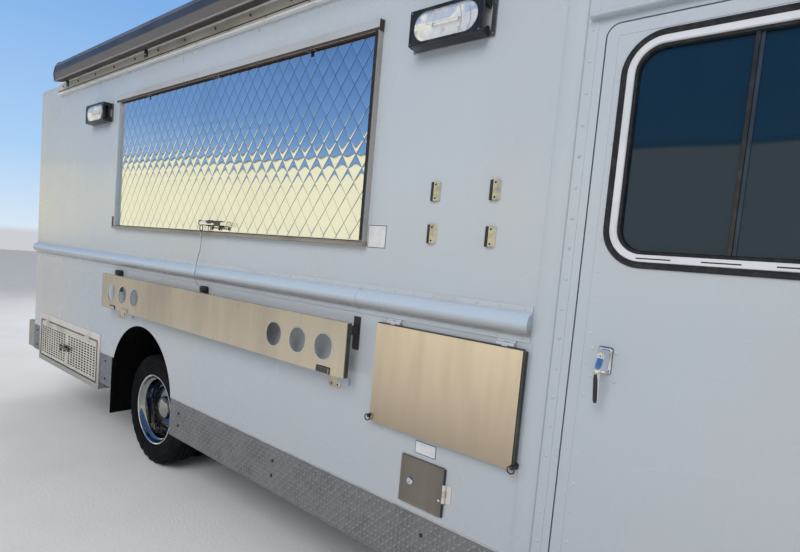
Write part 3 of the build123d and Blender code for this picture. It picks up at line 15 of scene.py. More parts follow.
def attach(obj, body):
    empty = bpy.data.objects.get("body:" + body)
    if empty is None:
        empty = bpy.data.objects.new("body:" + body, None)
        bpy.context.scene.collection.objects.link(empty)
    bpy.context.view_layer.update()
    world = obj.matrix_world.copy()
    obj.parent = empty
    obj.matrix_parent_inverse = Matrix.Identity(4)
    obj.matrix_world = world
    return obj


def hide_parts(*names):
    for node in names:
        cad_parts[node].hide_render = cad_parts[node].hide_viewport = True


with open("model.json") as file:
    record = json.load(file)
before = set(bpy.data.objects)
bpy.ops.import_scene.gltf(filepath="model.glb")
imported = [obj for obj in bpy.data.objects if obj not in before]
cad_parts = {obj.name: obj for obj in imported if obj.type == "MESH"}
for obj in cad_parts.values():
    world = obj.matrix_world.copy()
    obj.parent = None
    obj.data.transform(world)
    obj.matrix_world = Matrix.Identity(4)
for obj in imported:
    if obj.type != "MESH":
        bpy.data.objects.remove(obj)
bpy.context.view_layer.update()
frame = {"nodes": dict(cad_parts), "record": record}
nodes = frame["nodes"]

HALF_W = 1200  # outer face of each side wall
REAR = 3750  # outer face of the rear wall, behind the origin
RIGHT = -1
LEFT = 1
SIDES = (RIGHT, LEFT)

# Material helpers

LOOKS = {}
EVEN = (1, 1, 1)


def principled(mat):
    return mat.node_tree.nodes["Principled BSDF"]


def shader(name, color, rough, metal=0, **sockets):
    """A Principled material with its uniform values on the shader's own sockets."""
    mat = bpy.data.materials.new(name)
    mat.use_nodes = True
    inputs = principled(mat).inputs
    inputs["Base Color"].default_value = (*color, 1)
    inputs["Roughness"].default_value = rough
    inputs["Metallic"].default_value = metal
    for socket, value in sockets.items():
        inputs[socket.replace("_", " ")].default_value = value
    LOOKS[name] = mat
    return mat


def coordinates(mat, stretch=EVEN):
    tree = mat.node_tree
    place = tree.nodes.new("ShaderNodeTexCoord")
    scaling = tree.nodes.new("ShaderNodeMapping")
    scaling.inputs["Scale"].default_value = stretch
    tree.links.new(place.outputs["Object"], scaling.inputs["Vector"])
    return scaling.outputs["Vector"]


def noise_of(mat, scale, stretch, detail):
    tex = mat.node_tree.nodes.new("ShaderNodeTexNoise")
    tex.inputs["Scale"].default_value = scale
    tex.inputs["Detail"].default_value = detail
    mat.node_tree.links.new(coordinates(mat, stretch), tex.inputs["Vector"])
    return tex.outputs["Fac"]


def spread(mat, value, low, high, low_out=0, high_out=1):
    """Maps a value between two limits onto another range."""
    node = mat.node_tree.nodes.new("ShaderNodeMapRange")
    limits = {"From Min": low, "From Max": high, "To Min": low_out, "To Max": high_out}
    for socket, limit in limits.items():
        node.inputs[socket].default_value = limit
    mat.node_tree.links.new(value, node.inputs["Value"])
    return node.outputs["Result"]


def along(mat, axis, low, high, low_out=0, high_out=1):
    """A share that changes between two places on one of the truck's axes."""
    split = mat.node_tree.nodes.new("ShaderNodeSeparateXYZ")
    mat.node_tree.links.new(coordinates(mat), split.inputs["Vector"])
    return spread(mat, split.outputs[axis], low, high, low_out, high_out)


def recolor(mat, share, other, start=None):
    """Blends the colour, from a start colour or from what it has, towards another one."""
    tree = mat.node_tree
    color = principled(mat).inputs["Base Color"]
    mix = tree.nodes.new("ShaderNodeMix")
    mix.data_type = "RGBA"
    if start:
        mix.inputs["A"].default_value = (*start, 1)
    elif color.links:
        tree.links.new(color.links[0].from_socket, mix.inputs["A"])
    else:
        mix.inputs["A"].default_value = color.default_value
    mix.inputs["B"].default_value = (*other, 1)
    tree.links.new(share, mix.inputs["Factor"])
    tree.links.new(mix.outputs["Result"], color)


def mottle(mat, scale, other, detail=3, stretch=EVEN, low=0.45, high=0.75):
    """Blends the material's colour towards another one in soft patches."""
    recolor(mat, spread(mat, noise_of(mat, scale, stretch, detail), low, high), other)


def graded(mat, axis, low, high, start, other):
    """Colours the material from a start colour, or from what it has, to another along an axis."""
    recolor(mat, along(mat, axis, low, high), other, start)


def roughen(mat, scale, low, high, stretch=EVEN):
    """Varies the roughness between two values."""
    share = spread(mat, noise_of(mat, scale, stretch, 3), 0.3, 0.7, low, high)
    mat.node_tree.links.new(share, principled(mat).inputs["Roughness"])


def bump(mat, scale, distance, stretch=EVEN, detail=3):
    """Adds a bump of noise on top of the material's earlier bumps."""
    tree = mat.node_tree
    normal = principled(mat).inputs["Normal"]
    node = tree.nodes.new("ShaderNodeBump")
    node.inputs["Distance"].default_value = distance
    tree.links.new(noise_of(mat, scale, stretch, detail), node.inputs["Height"])
    if normal.links:
        tree.links.new(normal.links[0].from_socket, node.inputs["Normal"])
    tree.links.new(node.outputs["Normal"], normal)


def look(name, color, rough, metal, patches, grain, **sockets):
    """A shader with patches of another colour and a bump, as mottle and bump take them."""
    mat = shader(name, color, rough, metal, **sockets)
    mottle(mat, *patches)
    bump(mat, *grain)
    return mat


def painted(name, color, dirt, rough=0.25, wave=0.004):
    """Gloss paint on sheet that waves a little, with faint dirt that runs down, painted shade that darkens
    it towards the bottom, and a painted warm glow of sunlight towards the rear.
    """
    mat = shader(name, color, rough, Coat_Weight=0.3, Coat_Roughness=0.08)
    # Darker towards the bottom: painted shade.
    graded(mat, "Z", 0.6, 1.9, [0.87 * c for c in color], color)
    # Warmer and paler towards the rear: painted sunlight.
    graded(mat, "X", -2.4, -3.9, None, (0.565, 0.56, 0.515))
    mottle(mat, 1.3, dirt, 3, (1, 1, 0.5), 0.5, 0.95)
    mottle(mat, 9, dirt, 3, (1, 1, 0.06), 0.62, 1.1)
    roughen(mat, 2, rough - 0.05, rough + 0.12)
    bump(mat, 1.6, wave, (1, 1, 0.6), 1)
    bump(mat, 260, 0.00004)


# Materials: colour, roughness, metal, (patch scale, colour, detail...), (bump scale, depth...)

# The body's white is written at its tone in blue open shade: painted shade over all of the white paint.
SHADED_WHITE = (0.475, 0.515, 0.555)
painted("white_paint", SHADED_WHITE, (0.46, 0.47, 0.47))
painted("inner_floor", (0.3, 0.3, 0.31), (0.2, 0.2, 0.2), 0.55, 0.001)
painted("cap_paint", (0.42, 0.44, 0.46), (0.32, 0.3, 0.28), 0.45, 0.001)
look("bright_steel", (0.72, 0.71, 0.69), 0.22, 1, (14, (0.55, 0.54, 0.51)), (160, 0.00005, (1, 1, 6)))
look("black_steel", (0.022, 0.022, 0.024), 0.5, 0, (8, (0.06, 0.055, 0.05), 6), (120, 0.0002))
look("tyre_rubber", (0.0055, 0.0062, 0.0075), 0.8, 0, (9, (0.014, 0.014, 0.0145), 6), (180, 0.0003),
    Specular_IOR_Level=0.1)
look("rubber", (0.012, 0.012, 0.013), 0.6, 0, (40, (0.03, 0.03, 0.03)), (300, 0.0001))
look("tinted_glass", (0.008, 0.034, 0.066), 0.015, 0, (1.2, (0.012, 0.044, 0.082)), (2.5, 0.0008, EVEN, 1),
    IOR=1.45, Transmission_Weight=0.4)
look("clear_lens", (0.93, 0.94, 0.94), 0.04, 0, (20, (0.85, 0.87, 0.87)), (60, 0.00012, (1, 1, 0.02)),
    IOR=1.45, Alpha=0.14)
look("gloss_black", (0.014, 0.014, 0.015), 0.28, 0, (20, (0.035, 0.034, 0.033)), (150, 0.0001))
look("cast_iron", (0.1, 0.1, 0.105), 0.6, 0.4, (12, (0.17, 0.12, 0.09), 6), (70, 0.0008))
look("cab_plastic", (0.055, 0.056, 0.06), 0.6, 0, (14, (0.075, 0.075, 0.078)), (420, 0.0003))
look("seat_vinyl", (0.045, 0.045, 0.05), 0.5, 0, (8, (0.07, 0.068, 0.068)), (500, 0.0003), Sheen_Weight=0.2)
look("aluminium", (0.6, 0.6, 0.6), 0.5, 0.9, (10, (0.5, 0.5, 0.5), 5), (120, 0.0001))
look("exhaust_steel", (0.2, 0.17, 0.15), 0.65, 0.7, (11, (0.2, 0.09, 0.045), 7), (90, 0.0006))
look("navy_shell", (0.035, 0.038, 0.052), 0.42, 0, (5, (0.07, 0.072, 0.085), 5, (0.4, 1, 1)),
    (40, 0.0003, (0.2, 1, 1)))
look("beige_face", (0.125, 0.11, 0.095), 0.5, 0, (5, (0.105, 0.085, 0.068), 6, (0.5, 1, 1)), (60, 0.0003))
look("cream_rail", (0.6, 0.57, 0.5), 0.42, 0.25, (7, (0.38, 0.33, 0.27), 7, (0.5, 1, 1), 0.5, 0.8),
    (80, 0.0003))
look("red_lens", (0.42, 0.012, 0.012), 0.12, 0, (30, (0.3, 0.008, 0.008)), (120, 0.0005), Coat_Weight=0.5)
look("amber_lens", (0.75, 0.25, 0.02), 0.12, 0, (30, (0.6, 0.18, 0.015)), (120, 0.0005), Coat_Weight=0.5)
look("cord_fibre", (0.26, 0.25, 0.24), 0.8, 0, (90, (0.15, 0.14, 0.14)), (900, 0.0004))
look("ledge_metal", (0.4, 0.34, 0.26), 0.42, 0.6, (9, (0.26, 0.21, 0.16), 6, (0.6, 1, 1)), (90, 0.0002))
# Brown that stands for shade: under the drip cap, under the awning case and between the awning rail's lips.
look("stain_brown", (0.06, 0.042, 0.034), 0.7, 0, (11, (0.12, 0.095, 0.075), 7, (0.4, 1, 1)), (80, 0.0004))
look("sealant", (0.22, 0.2, 0.21), 0.7, 0, (30, (0.4, 0.39, 0.38), 6), (60, 0.0008))
look("rivet_paint", (0.5, 0.535, 0.57), 0.32, 0, (4, (0.38, 0.39, 0.4), 4, EVEN, 0.5, 0.8), (200, 0.0001),
    Coat_Weight=0.2)
look("frame_white", (0.66, 0.67, 0.7), 0.35, 0, (9, (0.56, 0.57, 0.59), 5), (160, 0.0001), Coat_Weight=0.2)
look("slider_metal", (0.035, 0.055, 0.075), 0.35, 0.3, (14, (0.02, 0.03, 0.045)), (120, 0.0001))
look("clip_steel", (0.66, 0.61, 0.52), 0.24, 1, (30, (0.42, 0.38, 0.32), 5), (200, 0.0001, (8, 8, 0.4)))
look("lamp_plate", (0.33, 0.33, 0.34), 0.4, 0.9, (16, (0.2, 0.19, 0.18), 6), (140, 0.0002))
look("bulb_glass", (0.8, 0.76, 0.66), 0.2, 0, (50, (0.62, 0.56, 0.46)), (200, 0.0001), Coat_Weight=0.5)
look("shadow_steel", (0.075, 0.08, 0.078), 0.42, 0.7, (12, (0.13, 0.125, 0.11), 6), (120, 0.0002))
look("fuel_steel", (0.27, 0.24, 0.2), 0.36, 1, (5, (0.22, 0.2, 0.17), 3, (2, 2, 0.4), 0.4, 0.7),
    (110, 0.00006, (12, 12, 0.15)), Anisotropic=0.4)
look("label_white", (0.66, 0.67, 0.68), 0.4, 0, (40, (0.55, 0.55, 0.56), 5), (200, 0.0001))
look("label_edge", (0.08, 0.08, 0.1), 0.5, 0, (40, (0.14, 0.14, 0.15)), (200, 0.0001))
look("grille_metal", (0.66, 0.63, 0.55), 0.42, 0.5, (7, (0.5, 0.46, 0.39), 6), (160, 0.0001))
# Near black that stands for shade: inside the wheel boxes, in the wheels' hand holes and along the arches'
# cut edges.
look("hole_black", (0.0028, 0.003, 0.0035), 0.85, 0, (30, (0.007, 0.007, 0.007)), (120, 0.0002),
    Specular_IOR_Level=0.08)
look("tread_bar", (0.42, 0.425, 0.43), 0.34, 0.95, (25, (0.28, 0.28, 0.28), 5), (260, 0.0001))
look("awning_line", (0.3, 0.3, 0.33), 0.4, 0.3, (9, (0.18, 0.18, 0.21), 5, (0.4, 1, 1)), (80, 0.0002))
look("edge_white", (0.8, 0.8, 0.78), 0.35, 0, (12, (0.55, 0.52, 0.48), 7, (0.5, 1, 1), 0.55, 0.85),
    (90, 0.0002))
look("latch_bronze", (0.045, 0.036, 0.03), 0.3, 0.2, (60, (0.11, 0.09, 0.07), 5), (220, 0.0002))
look("pearl_lens", (0.62, 0.65, 0.67), 0.06, 0, (60, (0.48, 0.51, 0.53), 3, (1, 6, 0.3)),
    (120, 0.0008, (1, 1, 0.03)), Coat_Weight=0.6)
look("seam_thread", (0.1, 0.1, 0.11), 0.7, 0, (90, (0.16, 0.16, 0.17)), (700, 0.0003))
look("crease_metal", (0.34, 0.335, 0.31), 0.16, 1, (25, (0.22, 0.21, 0.19)), (120, 0.0001))
look("plate_steel", (0.68, 0.58, 0.46), 0.38, 0.9, (18, (0.55, 0.46, 0.36), 5), (140, 0.0001))

stainless = look("stainless", (0.7, 0.6, 0.46), 0.34, 1, (1.6, (0.55, 0.47, 0.37), 3, (2.2, 2.2, 0.5), 0.4,
    0.7), (90, 0.00006, (12, 12, 0.15)), Anisotropic=0.4)
roughen(stainless, 6, 0.26, 0.42, (4, 4, 0.4))
bump(stainless, 3, 0.0015, (1, 1, 0.5), 1)

shelf_steel = shader("shelf_steel", (0.66, 0.54, 0.39), 0.36, 1, Anisotropic=0.5)
# Dark at the foot and bright at the top: painted shade below and painted light above.
graded(shelf_steel, "Z", 0.96, 1.36, (0.5, 0.405, 0.3), (0.97, 0.79, 0.56))
mottle(shelf_steel, 2.2, (0.5, 0.4, 0.29), 3, (2.6, 2.6, 0.35), 0.46, 0.85)
SHELF_WALL_LINE = (1.3765, 1.3775)  # over this height the shelf's node is painted wall
graded(shelf_steel, "Z", *SHELF_WALL_LINE, None, SHADED_WHITE)
shelf_steel.node_tree.links.new(along(shelf_steel, "Z", *SHELF_WALL_LINE, 1, 0),
    principled(shelf_steel).inputs["Metallic"])
roughen(shelf_steel, 5, 0.28, 0.42, (5, 5, 0.3))
bump(shelf_steel, 90, 0.00005, (0.15, 1, 14))
bump(shelf_steel, 2.4, 0.0012, (1, 1, 0.5), 1)

mirror_steel = shader("mirror_steel", (0.88, 0.885, 0.89), 0.04, 1)
roughen(mirror_steel, 12, 0.02, 0.06)
mottle(mirror_steel, 3, (0.82, 0.83, 0.84))

hatch_back = shader("hatch_back", (0.86, 0.87, 0.88), 0.1, 1)
# The hatch's top band is dark brown: painted shade under the drip cap.
graded(hatch_back, "Z", 2.598, 2.6, (0.8, 0.81, 0.82), (0.07, 0.055, 0.045))
mottle(hatch_back, 12, (0.06, 0.05, 0.045), 3, EVEN, 0.62, 0.95)
bump(hatch_back, 60, 0.0001)

hinge_paint = shader("hinge_paint", SHADED_WHITE, 0.4)
# Hinges below this height are warmer and paler: painted sunlight.
graded(hinge_paint, "Z", 0.86, 0.9, (0.6, 0.565, 0.53), (0.5, 0.53, 0.56))
# The hinges' top band is dark brown: painted shade under the drip cap.
graded(hinge_paint, "Z", 2.59, 2.6, None, (0.055, 0.042, 0.036))
mottle(hinge_paint, 30, (0.3, 0.29, 0.28), 3, EVEN, 0.6, 0.9)
bump(hinge_paint, 140, 0.0001)

frame_paint = shader("frame_paint", (0.42, 0.4, 0.385), 0.45)
graded(frame_paint, "X", -1.8, -1.7, SHADED_WHITE, (0.42, 0.4, 0.385))
mottle(frame_paint, 12, (0.28, 0.26, 0.24), 6, (1, 1, 0.4), 0.55, 0.85)
bump(frame_paint, 90, 0.0002)

tread_metal = look("tread_metal", (0.25, 0.255, 0.26), 0.45, 0.85, (7, (0.18, 0.18, 0.185), 6),
    (220, 0.0001))
mottle(tread_metal, 60, (0.32, 0.32, 0.32), 3, EVEN, 0.55, 0.7)
roughen(tread_metal, 30, 0.35, 0.6)
graded(tread_metal, "X", -3.745, -3.755, None, (0.41, 0.38, 0.33))

chrome = shader("chrome", (0.8, 0.8, 0.81), 0.07, 1)
mottle(chrome, 20, (0.68, 0.68, 0.68))
# Darker chrome on the wheels: painted reflection of a dark ground and the dark wheel arches.
wheel_chrome = shader("wheel_chrome", (0.36, 0.355, 0.345), 0.08, 1)
mottle(wheel_chrome, 20, (0.28, 0.27, 0.255))
for plated in (chrome, wheel_chrome):
    roughen(plated, 25, 0.05, 0.13)

reflector = shader("reflector", (0.95, 0.94, 0.91), 0.16, 0.55)
# Cream below and blue above: painted reflection of the ground and the sky.
graded(reflector, "Z", 2.587, 2.592, (0.92, 0.89, 0.79), (0.42, 0.52, 0.76))
# Bright and brown patches: painted glints off the facets.
mottle(reflector, 24, (0.98, 0.96, 0.92), 4, EVEN, 0.48, 0.62)
mottle(reflector, 40, (0.5, 0.44, 0.36), 4, EVEN, 0.6, 0.7)
bump(reflector, 55, 0.0004, (1, 1, 0.6))

frame_sheet = shader("frame_sheet", (0.5, 0.48, 0.45), 0.42)
# Dark at the bottom and pale at the top: painted shade low on the frame and painted sunlight on its top
# rim.
graded(frame_sheet, "Z", 0.42, 0.84, (0.3, 0.295, 0.28), (0.64, 0.6, 0.565))
mottle(frame_sheet, 6, (0.42, 0.33, 0.28), 6, (0.6, 1, 1), 0.55, 0.85)
bump(frame_sheet, 90, 0.0002)

bracket_steel = shader("bracket_steel", (0.025, 0.028, 0.034), 0.5)
graded(bracket_steel, "Z", 1.1, 1.105, SHADED_WHITE, (0.025, 0.028, 0.034))
mottle(bracket_steel, 30, (0.07, 0.07, 0.07), 5, EVEN, 0.6, 0.9)
bump(bracket_steel, 120, 0.0001)

# The rub rail's paint, with bands of painted shade and painted sky light along its height.
rail_shade_and_skylight = shader("rail_shade_and_skylight", SHADED_WHITE, 0.3, Coat_Weight=0.2)
# A dark band under the bead: painted shade.
graded(rail_shade_and_skylight, "Z", 1.418, 1.43, SHADED_WHITE, (0.36, 0.355, 0.345))
# A blue band on the bead's top: painted light of the sky.
graded(rail_shade_and_skylight, "Z", 1.444, 1.472, None, (0.46, 0.545, 0.64))
graded(rail_shade_and_skylight, "Z", 1.505, 1.512, None, SHADED_WHITE)
mottle(rail_shade_and_skylight, 5, (0.4, 0.4, 0.41), 5, (0.4, 1, 1), 0.52, 0.9)
roughen(rail_shade_and_skylight, 3, 0.26, 0.42)
bump(rail_shade_and_skylight, 2, 0.002, (0.5, 1, 1), 1)

# Finishes of the CAD nodes: a slot's own material, unless one of these names another

SLOT_LOOKS = {
    "tread_plate": "tread_metal", "tyre": "tyre_rubber", "lamp_plastic": "gloss_black",
    "engine_iron": "cast_iron", "awning_shell": "navy_shell", "cord": "cord_fibre",
}
NODE_LOOKS = {
    "floor": "inner_floor", "fittings": "bright_steel", "wheel_boxes": "hole_black",
    "hatch": "hatch_back", "hatch_frame": "frame_paint", "hinges": "hinge_paint",
    "side_shelf": "shelf_steel", "compartment": "frame_sheet", "shelf_brackets": "bracket_steel",
    "rub_rails": "rail_shade_and_skylight",
}
for part in frame["record"]["subparts"]:
    finish = SLOT_LOOKS.get(part["material_slot"], part["material_slot"])
    finish = NODE_LOOKS.get(part["node"], finish)
    mesh_data = nodes[part["node"]].data
    mesh_data.materials.clear()
    mesh_data.materials.append(LOOKS[finish])

# Shape helpers


def mm(*lengths):
    """A place in millimetres as Blender's metres."""
    return Vector([length / 1000 for length in lengths])


def wall_face(side):
    """Maps (forward, up, out) onto a side wall."""
    return lambda u, v, w=0: mm(u, side * (HALF_W + w), v)


def rear_face(u, v, w=0):
    """Maps (left, up, out) onto the rear wall."""
    return mm(-REAR - w, u, v)


def circle(steps, share=0):
    """Angles evenly around a circle, from a share of a step on."""
    return [2 * pi * (k + share) / steps for k in range(steps)]


def outline(u0, u1, v0, v1, radius=0, steps=6):
    """Points anticlockwise around a rectangle with round corners."""
    corners = ((u1 - radius, v1 - radius), (u0 + radius, v1 - radius), (u0 + radius, v0 + radius),
        (u1 - radius, v0 + radius))
    points = []
    for quarter, (u, v) in enumerate(corners):
        for k in range(steps + 1):
            turn = (quarter + k / steps) * pi / 2
            points.append((u + radius * cos(turn), v + radius * sin(turn)))
    return points


def inset(points, distance):
    """The outline moved inwards, or outwards where the distance is negative."""
    moved = []
    for k, here in enumerate(points):
        ahead = next(p for p in points[k + 1:] + points if p != here)
        behind = next(p for p in points[k - 1::-1] + points[::-1] if p != here)
        one = (Vector(here) - Vector(behind)).normalized()
        two = (Vector(ahead) - Vector(here)).normalized()
        inward = Vector((-one.y - two.y, one.x + two.x)).normalized()
        reach = distance / max(0.4, inward.dot(Vector((-one.y, one.x))))
        moved.append((here[0] + inward.x * reach, here[1] + inward.y * reach))
    low = [min(p[k] for p in points) + distance for k in (0, 1)]
    high = [max(p[k] for p in points) - distance for k in (0, 1)]
    return [tuple(min(max(c, a), b) for c, a, b in zip(p, low, high)) for p in moved]


def skin(bm, loops, mat=0, ends=True, ring=False, around=True):
    """Joins loops of equal count by quads, and closes the first and last one."""
    rows = [[bm.verts.new(point) for point in loop] for loop in loops]
    pairs = list(zip(rows, rows[1:]))
    if ring:
        pairs.append((rows[-1], rows[0]))
    for low, high in pairs:
        for k in range(len(low) if around else len(low) - 1):
            n = (k + 1) % len(low)
            bm.faces.new((low[k], low[n], high[n], high[k])).material_index = mat
    if ends and not ring:
        for row in (rows[0], rows[-1]):
            bm.faces.new(row).material_index = mat


def stacked(bm, at, points, layers, mat=0, ends=True, ring=False):
    """Copies of an outline, each moved inwards and set at its own height."""
    loops = [[at(u, v, out) for u, v in inset(points, inward)] for inward, out in layers]
    skin(bm, loops, mat, ends, ring)


def block(bm, at, u, v, w, mat=0, edge=1, radius=None, steps=2):
    """A plate or bar with eased edges between two limits each way."""
    points = outline(*u, *v, edge * 1.01 if radius is None else radius, steps)
    stacked(bm, at, points, [(edge, w[0]), (0, w[0] + edge), (0, w[1] - edge), (edge, w[1])], mat)


def holed(bm, at, outer, inner, w, mat=0, edge=1):
    """A plate between two outlines of equal count, with an eased front edge."""
    shapes = ((outer, w[0]), (outer, w[1] - edge), (inset(outer, edge), w[1]), (inset(inner, -edge), w[1]),
        (inner, w[1] - edge), (inner, w[0]))
    skin(bm, [[at(*point, out) for point in points] for points, out in shapes], mat, ring=True)


def turned(bm, at, u, v, profile, steps=24, mat=0, ring=False):
    """Turns a profile of (radius, out) about the outward line through a point."""
    loops = [[at(u + r * cos(t), v + r * sin(t), out) for t in circle(steps)] for r, out in profile]
    skin(bm, loops, mat, ring=ring)


def domes(bm, at, places, radius, height, base=0, mat=0, steps=8):
    """Rivet or screw heads."""
    shape = ((1, 0), (0.9, 0.5), (0.5, 0.92), (0.02, 1))
    profile = [(radius * r, base + height * h) for r, h in shape]
    for u, v in places:
        turned(bm, at, u, v, profile, steps, mat)


def hexes(bm, at, places, across, height, base=0, mat=0):
    """Hexagon bolt heads on round washers."""
    flat = across / 2
    for u, v in places:
        washer = [(flat * 1.25, base), (flat * 1.25, base + height * 0.25)]
        head = [(flat, base), (flat, base + height * 0.85), (flat * 0.8, base + height)]
        turned(bm, at, u, v, washer, 12, mat)
        turned(bm, at, u, v, head, 6, mat)


def tube(bm, path, radius, mat=0, steps=10):
    """Sweeps a circle along a line of Blender's points."""
    across = None
    loops = []
    for k, here in enumerate(path):
        forward = (path[min(k + 1, len(path) - 1)] - path[max(k - 1, 0)]).normalized()
        if across is None:
            across = forward.orthogonal()
        across = (across - forward * across.dot(forward)).normalized()
        other = forward.cross(across)
        loops.append([here + (across * cos(t) + other * sin(t)) * (radius / 1000) for t in circle(steps)])
    skin(bm, loops, mat)


def ring_pin(bm, at, u, v, w, radius, wire, mat=0):
    """A split ring hanging through an eye."""
    turns = circle(20) + [2 * pi]
    tube(bm, [at(u + radius * sin(t), v + radius * cos(t), w) for t in turns], wire, mat, 8)


def rail(bm, at, profile, u0, u1, mats=None):
    """Runs a closed profile of (up, out) along a wall; each side may have its own finish."""
    mats = mats or [0] * len(profile)
    rows = [[bm.verts.new(at(u, v, w)) for v, w in profile] for u in (u0, u1)]
    for k, mat in enumerate(mats):
        n = (k + 1) % len(profile)
        bm.faces.new((rows[0][k], rows[0][n], rows[1][n], rows[1][k])).material_index = mat
    for row in rows:
        bm.faces.new(row).material_index = mats[0]


def piece(name, bm, looks, slot, body="root", replaced=None, angle=35):
    """Makes the mesh an object of the scene that rides on a body."""
    bmesh.ops.remove_doubles(bm, verts=bm.verts, dist=1e-5)
    bmesh.ops.recalc_face_normals(bm, faces=bm.faces)
    mesh = bpy.data.meshes.new(name)
    bm.to_mesh(mesh)
    bm.free()
    for face in mesh.polygons:
        face.use_smooth = True
    mesh.set_sharp_from_angle(angle=radians(angle))
    for finish_name in looks.split():
        mesh.materials.append(LOOKS[finish_name])
    shape = bpy.data.objects.new(name, mesh)
    bpy.context.scene.collection.objects.link(shape)
    if replaced:
        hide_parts(replaced)
    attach(shape, body)
    return shape


def spaced(start, end, pitch):
    """Evenly spread places from start to end, about a pitch apart."""
    count = max(1, round(abs(end - start) / pitch))
    return [start + (end - start) * k / count for k in range(count + 1)]


right_wall = wall_face(RIGHT)
WALLS = {"right": right_wall, "left": wall_face(LEFT)}

# Quilted hatch

HATCH_X = (-1937, 641)
HATCH_Z = (1725, 2623)
HATCH_OUT = 4.2
LATCH_Z = 1766
QUILT_WIDE = 89
QUILT_TALL = 125
QUILT_RISE = 0.55
QUILT_CREASE = 4.5  # how far a crease's curve reaches into a diamond
QUILT_PILLOW = 0.34
QUILT_STATIONS = (0, 0.03, 0.07, 0.14, 0.28, 0.5, 0.72, 0.86, 0.93, 0.97)


def quilt_height(one, two):
    """Height over the sheet at a share of the way across a diamond, both ways."""
    pitch = QUILT_WIDE * QUILT_TALL / hypot(QUILT_WIDE, QUILT_TALL)
    height = QUILT_RISE
    pillow = QUILT_PILLOW
    for share in (one, two):
        away = min(share, 1 - share) * pitch
        height *= 1 - exp(-away / QUILT_CREASE)
        pillow *= 4 * share * (1 - share)
    return height + pillow


def sheet_bow(x, z):
    """The slow wave of the whole sheet."""
    return 3 * (0.5 + 0.5 * noise.noise(Vector((x * 0.0009 + 4.1, z * 0.0011, 0.3))))


def hatch_quilt():
    bm = bmesh.new()
    reach_u = int((HATCH_X[1] - HATCH_X[0]) / QUILT_WIDE + (HATCH_Z[1] - HATCH_Z[0]) / QUILT_TALL) + 2
    stations = [n + share for n in range(-reach_u, reach_u) for share in QUILT_STATIONS]
    mid_x = sum(HATCH_X) / 2
    mid_z = sum(HATCH_Z) / 2
    grid = {}
    for i, one in enumerate(stations):
        for j, two in enumerate(stations):
            x = mid_x + (one + two) * QUILT_WIDE / 2
            z = mid_z + (one - two) * QUILT_TALL / 2
            if not HATCH_X[0] - 30 < x < HATCH_X[1] + 30:
                continue
            if not HATCH_Z[0] - 30 < z < HATCH_Z[1] + 30:
                continue
            out = quilt_height(one % 1, two % 1) + sheet_bow(x, z)
            grid[i, j] = bm.verts.new(right_wall(x, z, HATCH_OUT + 0.6 + out))
    for (i, j), vert in list(grid.items()):
        corners = [grid.get(key) for key in ((i, j), (i + 1, j), (i + 1, j + 1), (i, j + 1))]
        if None not in corners:
            # Faces along the creases take the darker crease metal: painted shade in the creases.
            share = QUILT_STATIONS[j % len(QUILT_STATIONS)]
            other = QUILT_STATIONS[i % len(QUILT_STATIONS)]
            crease_shade = share in (0, QUILT_STATIONS[-1]) or other == 0
            bm.faces.new(corners).material_index = int(crease_shade)
    inner = 3
    for place, outward in (((HATCH_X[0] + inner, 0, 0), (-1, 0, 0)),
            ((HATCH_X[1] - inner, 0, 0), (1, 0, 0)), ((0, 0, HATCH_Z[0] + inner), (0, 0, -1)),
            ((0, 0, HATCH_Z[1] - inner), (0, 0, 1))):
        geometry = bm.verts[:] + bm.edges[:] + bm.faces[:]
        bmesh.ops.bisect_plane(bm, geom=geometry, plane_co=mm(*place), plane_no=outward, clear_outer=True)
    rim = [edge for edge in bm.edges if edge.is_boundary]
    made = bmesh.ops.extrude_edge_only(bm, edges=rim)["geom"]
    for vert in made:
        if isinstance(vert, bmesh.types.BMVert):
            vert.co.y = right_wall(0, 0, HATCH_OUT).y
    piece("hatch_quilt", bm, "mirror_steel crease_metal", "mirror_steel", "hatch", angle=60)


hatch_quilt()


def hatch_trim():
    """Gasket in the gap beside the hatch, ledge cap and the drip cap over it."""
    bm = bmesh.new()
    rail(bm, right_wall, [(1700.5, 0), (1700.5, 29), (1703.5, 31.5), (1716.5, 31.5), (1720.5, 29),
        (1720.5, 0)], HATCH_X[0] - 44, HATCH_X[1] + 19.5)
    block(bm, right_wall, (HATCH_X[0] - 44.5, HATCH_X[0] - 38.5), (1699, 1790), (0.5, 32.5))
    piece("hatch_ledge", bm, "ledge_metal", "stainless")
    bm = bmesh.new()
    # The cap's underside and its lowest front strip are brown painted shade.
    rail(bm, right_wall, [(2628.5, 4), (2628.5, 29.2), (2640, 29.6), (2640, 31.5), (2643, 32.5),
        (2672, 31.5), (2676.5, 28), (2676.5, 0.5)], HATCH_X[0] - 47, HATCH_X[1] + 20,
        [1, 1, 1, 0, 0, 0, 0, 0])
    block(bm, right_wall, (HATCH_X[0] - 47, HATCH_X[1] + 20), (2676, 2682), (0.3, 4), 2)
    piece("hatch_cap", bm, "cap_paint stain_brown sealant", "white_paint")
    bm = bmesh.new()
    block(bm, right_wall, (HATCH_X[1] - 0.5, HATCH_X[1] + 15), (HATCH_Z[0], HATCH_Z[1] + 4),
        (33.5, 35.2), edge=0.6)
    block(bm, right_wall, HATCH_X, (HATCH_Z[1] + 0.5, HATCH_Z[1] + 5), (0.5, 6))
    piece("hatch_gasket", bm, "rubber", "lamp_plastic")


hatch_trim()


